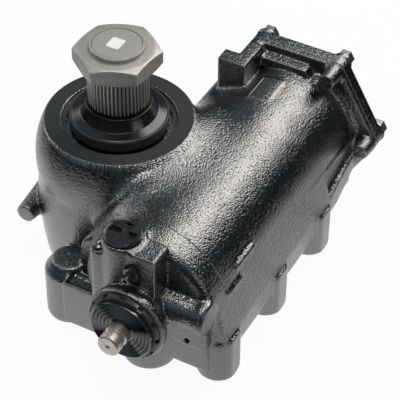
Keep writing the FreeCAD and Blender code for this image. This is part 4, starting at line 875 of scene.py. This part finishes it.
def make_camera(focal_length):
    """The photograph's camera: above the input end, to its right."""
    azimuth, elevation, roll = (math.radians(a) for a in (28.35, 42.24, 0.55))
    target, distance = Vector((0.07831, -0.12902, 0.253)), 1.66648
    back = Vector((math.sin(azimuth) * math.cos(elevation),
                   -math.cos(azimuth) * math.cos(elevation), math.sin(elevation)))
    right = Vector((math.cos(azimuth), math.sin(azimuth), 0))
    up = back.cross(right)
    across = right * math.cos(roll) + up * math.sin(roll)
    upward = up * math.cos(roll) - right * math.sin(roll)
    camera = bpy.data.cameras.new("camera")
    camera.sensor_width = 36.0
    camera.lens = focal_length
    camera.clip_end = 50.0
    item = bpy.data.objects.new("camera", camera)
    turn = Matrix((across, upward, back)).transposed().to_4x4()
    item.matrix_world = Matrix.Translation(target + back * distance) @ turn
    bpy.context.scene.collection.objects.link(item)
    bpy.context.scene.camera = item


OPERATORS = (GEAR_OT_casting, GEAR_OT_covers, GEAR_OT_shaft_end, GEAR_OT_boot, GEAR_OT_input,
             GEAR_OT_fittings, GEAR_OT_inner_works, GEAR_OT_stage)


class GEAR_PT_looks(Panel):
    """Lists the operators and their settings"""
    bl_idname = "GEAR_PT_looks"
    bl_label = "Steering Gear"
    bl_space_type = "VIEW_3D"
    bl_region_type = "UI"
    bl_category = "Steering Gear"

    def draw(self, context):
        for name in ("casting", "metal", "soft", "stage"):
            group = getattr(context.scene.gear, name)
            column = self.layout.column(heading=name.capitalize())
            for key in group.bl_rna.properties.keys():
                if key not in ("rna_type", "name"):
                    column.prop(group, key)
        for operator in OPERATORS:
            self.layout.operator(operator.bl_idname)


CLASSES = (GearCastingSettings, GearMetalSettings, GearSoftSettings, GearStageSettings,
           GearSettings, *OPERATORS, GEAR_PT_looks)


def register():
    for item in CLASSES:
        bpy.utils.register_class(item)
    bpy.types.Scene.gear = PointerProperty(type=GearSettings)


def unregister():
    del bpy.types.Scene.gear
    for item in reversed(CLASSES):
        bpy.utils.unregister_class(item)


def main():
    register()
    for make_group in (sand_grain_group, edge_highlight_and_dust_group, tool_marks_group,
                       smooth_by_angle_group):
        make_group()
    bpy.ops.gear.casting()
    bpy.ops.gear.covers()
    bpy.ops.gear.shaft_end()
    bpy.ops.gear.boot()
    bpy.ops.gear.input()
    bpy.ops.gear.fittings()
    bpy.ops.gear.inner_works()
    bpy.ops.gear.stage()


if __name__ == "__main__":
    main()
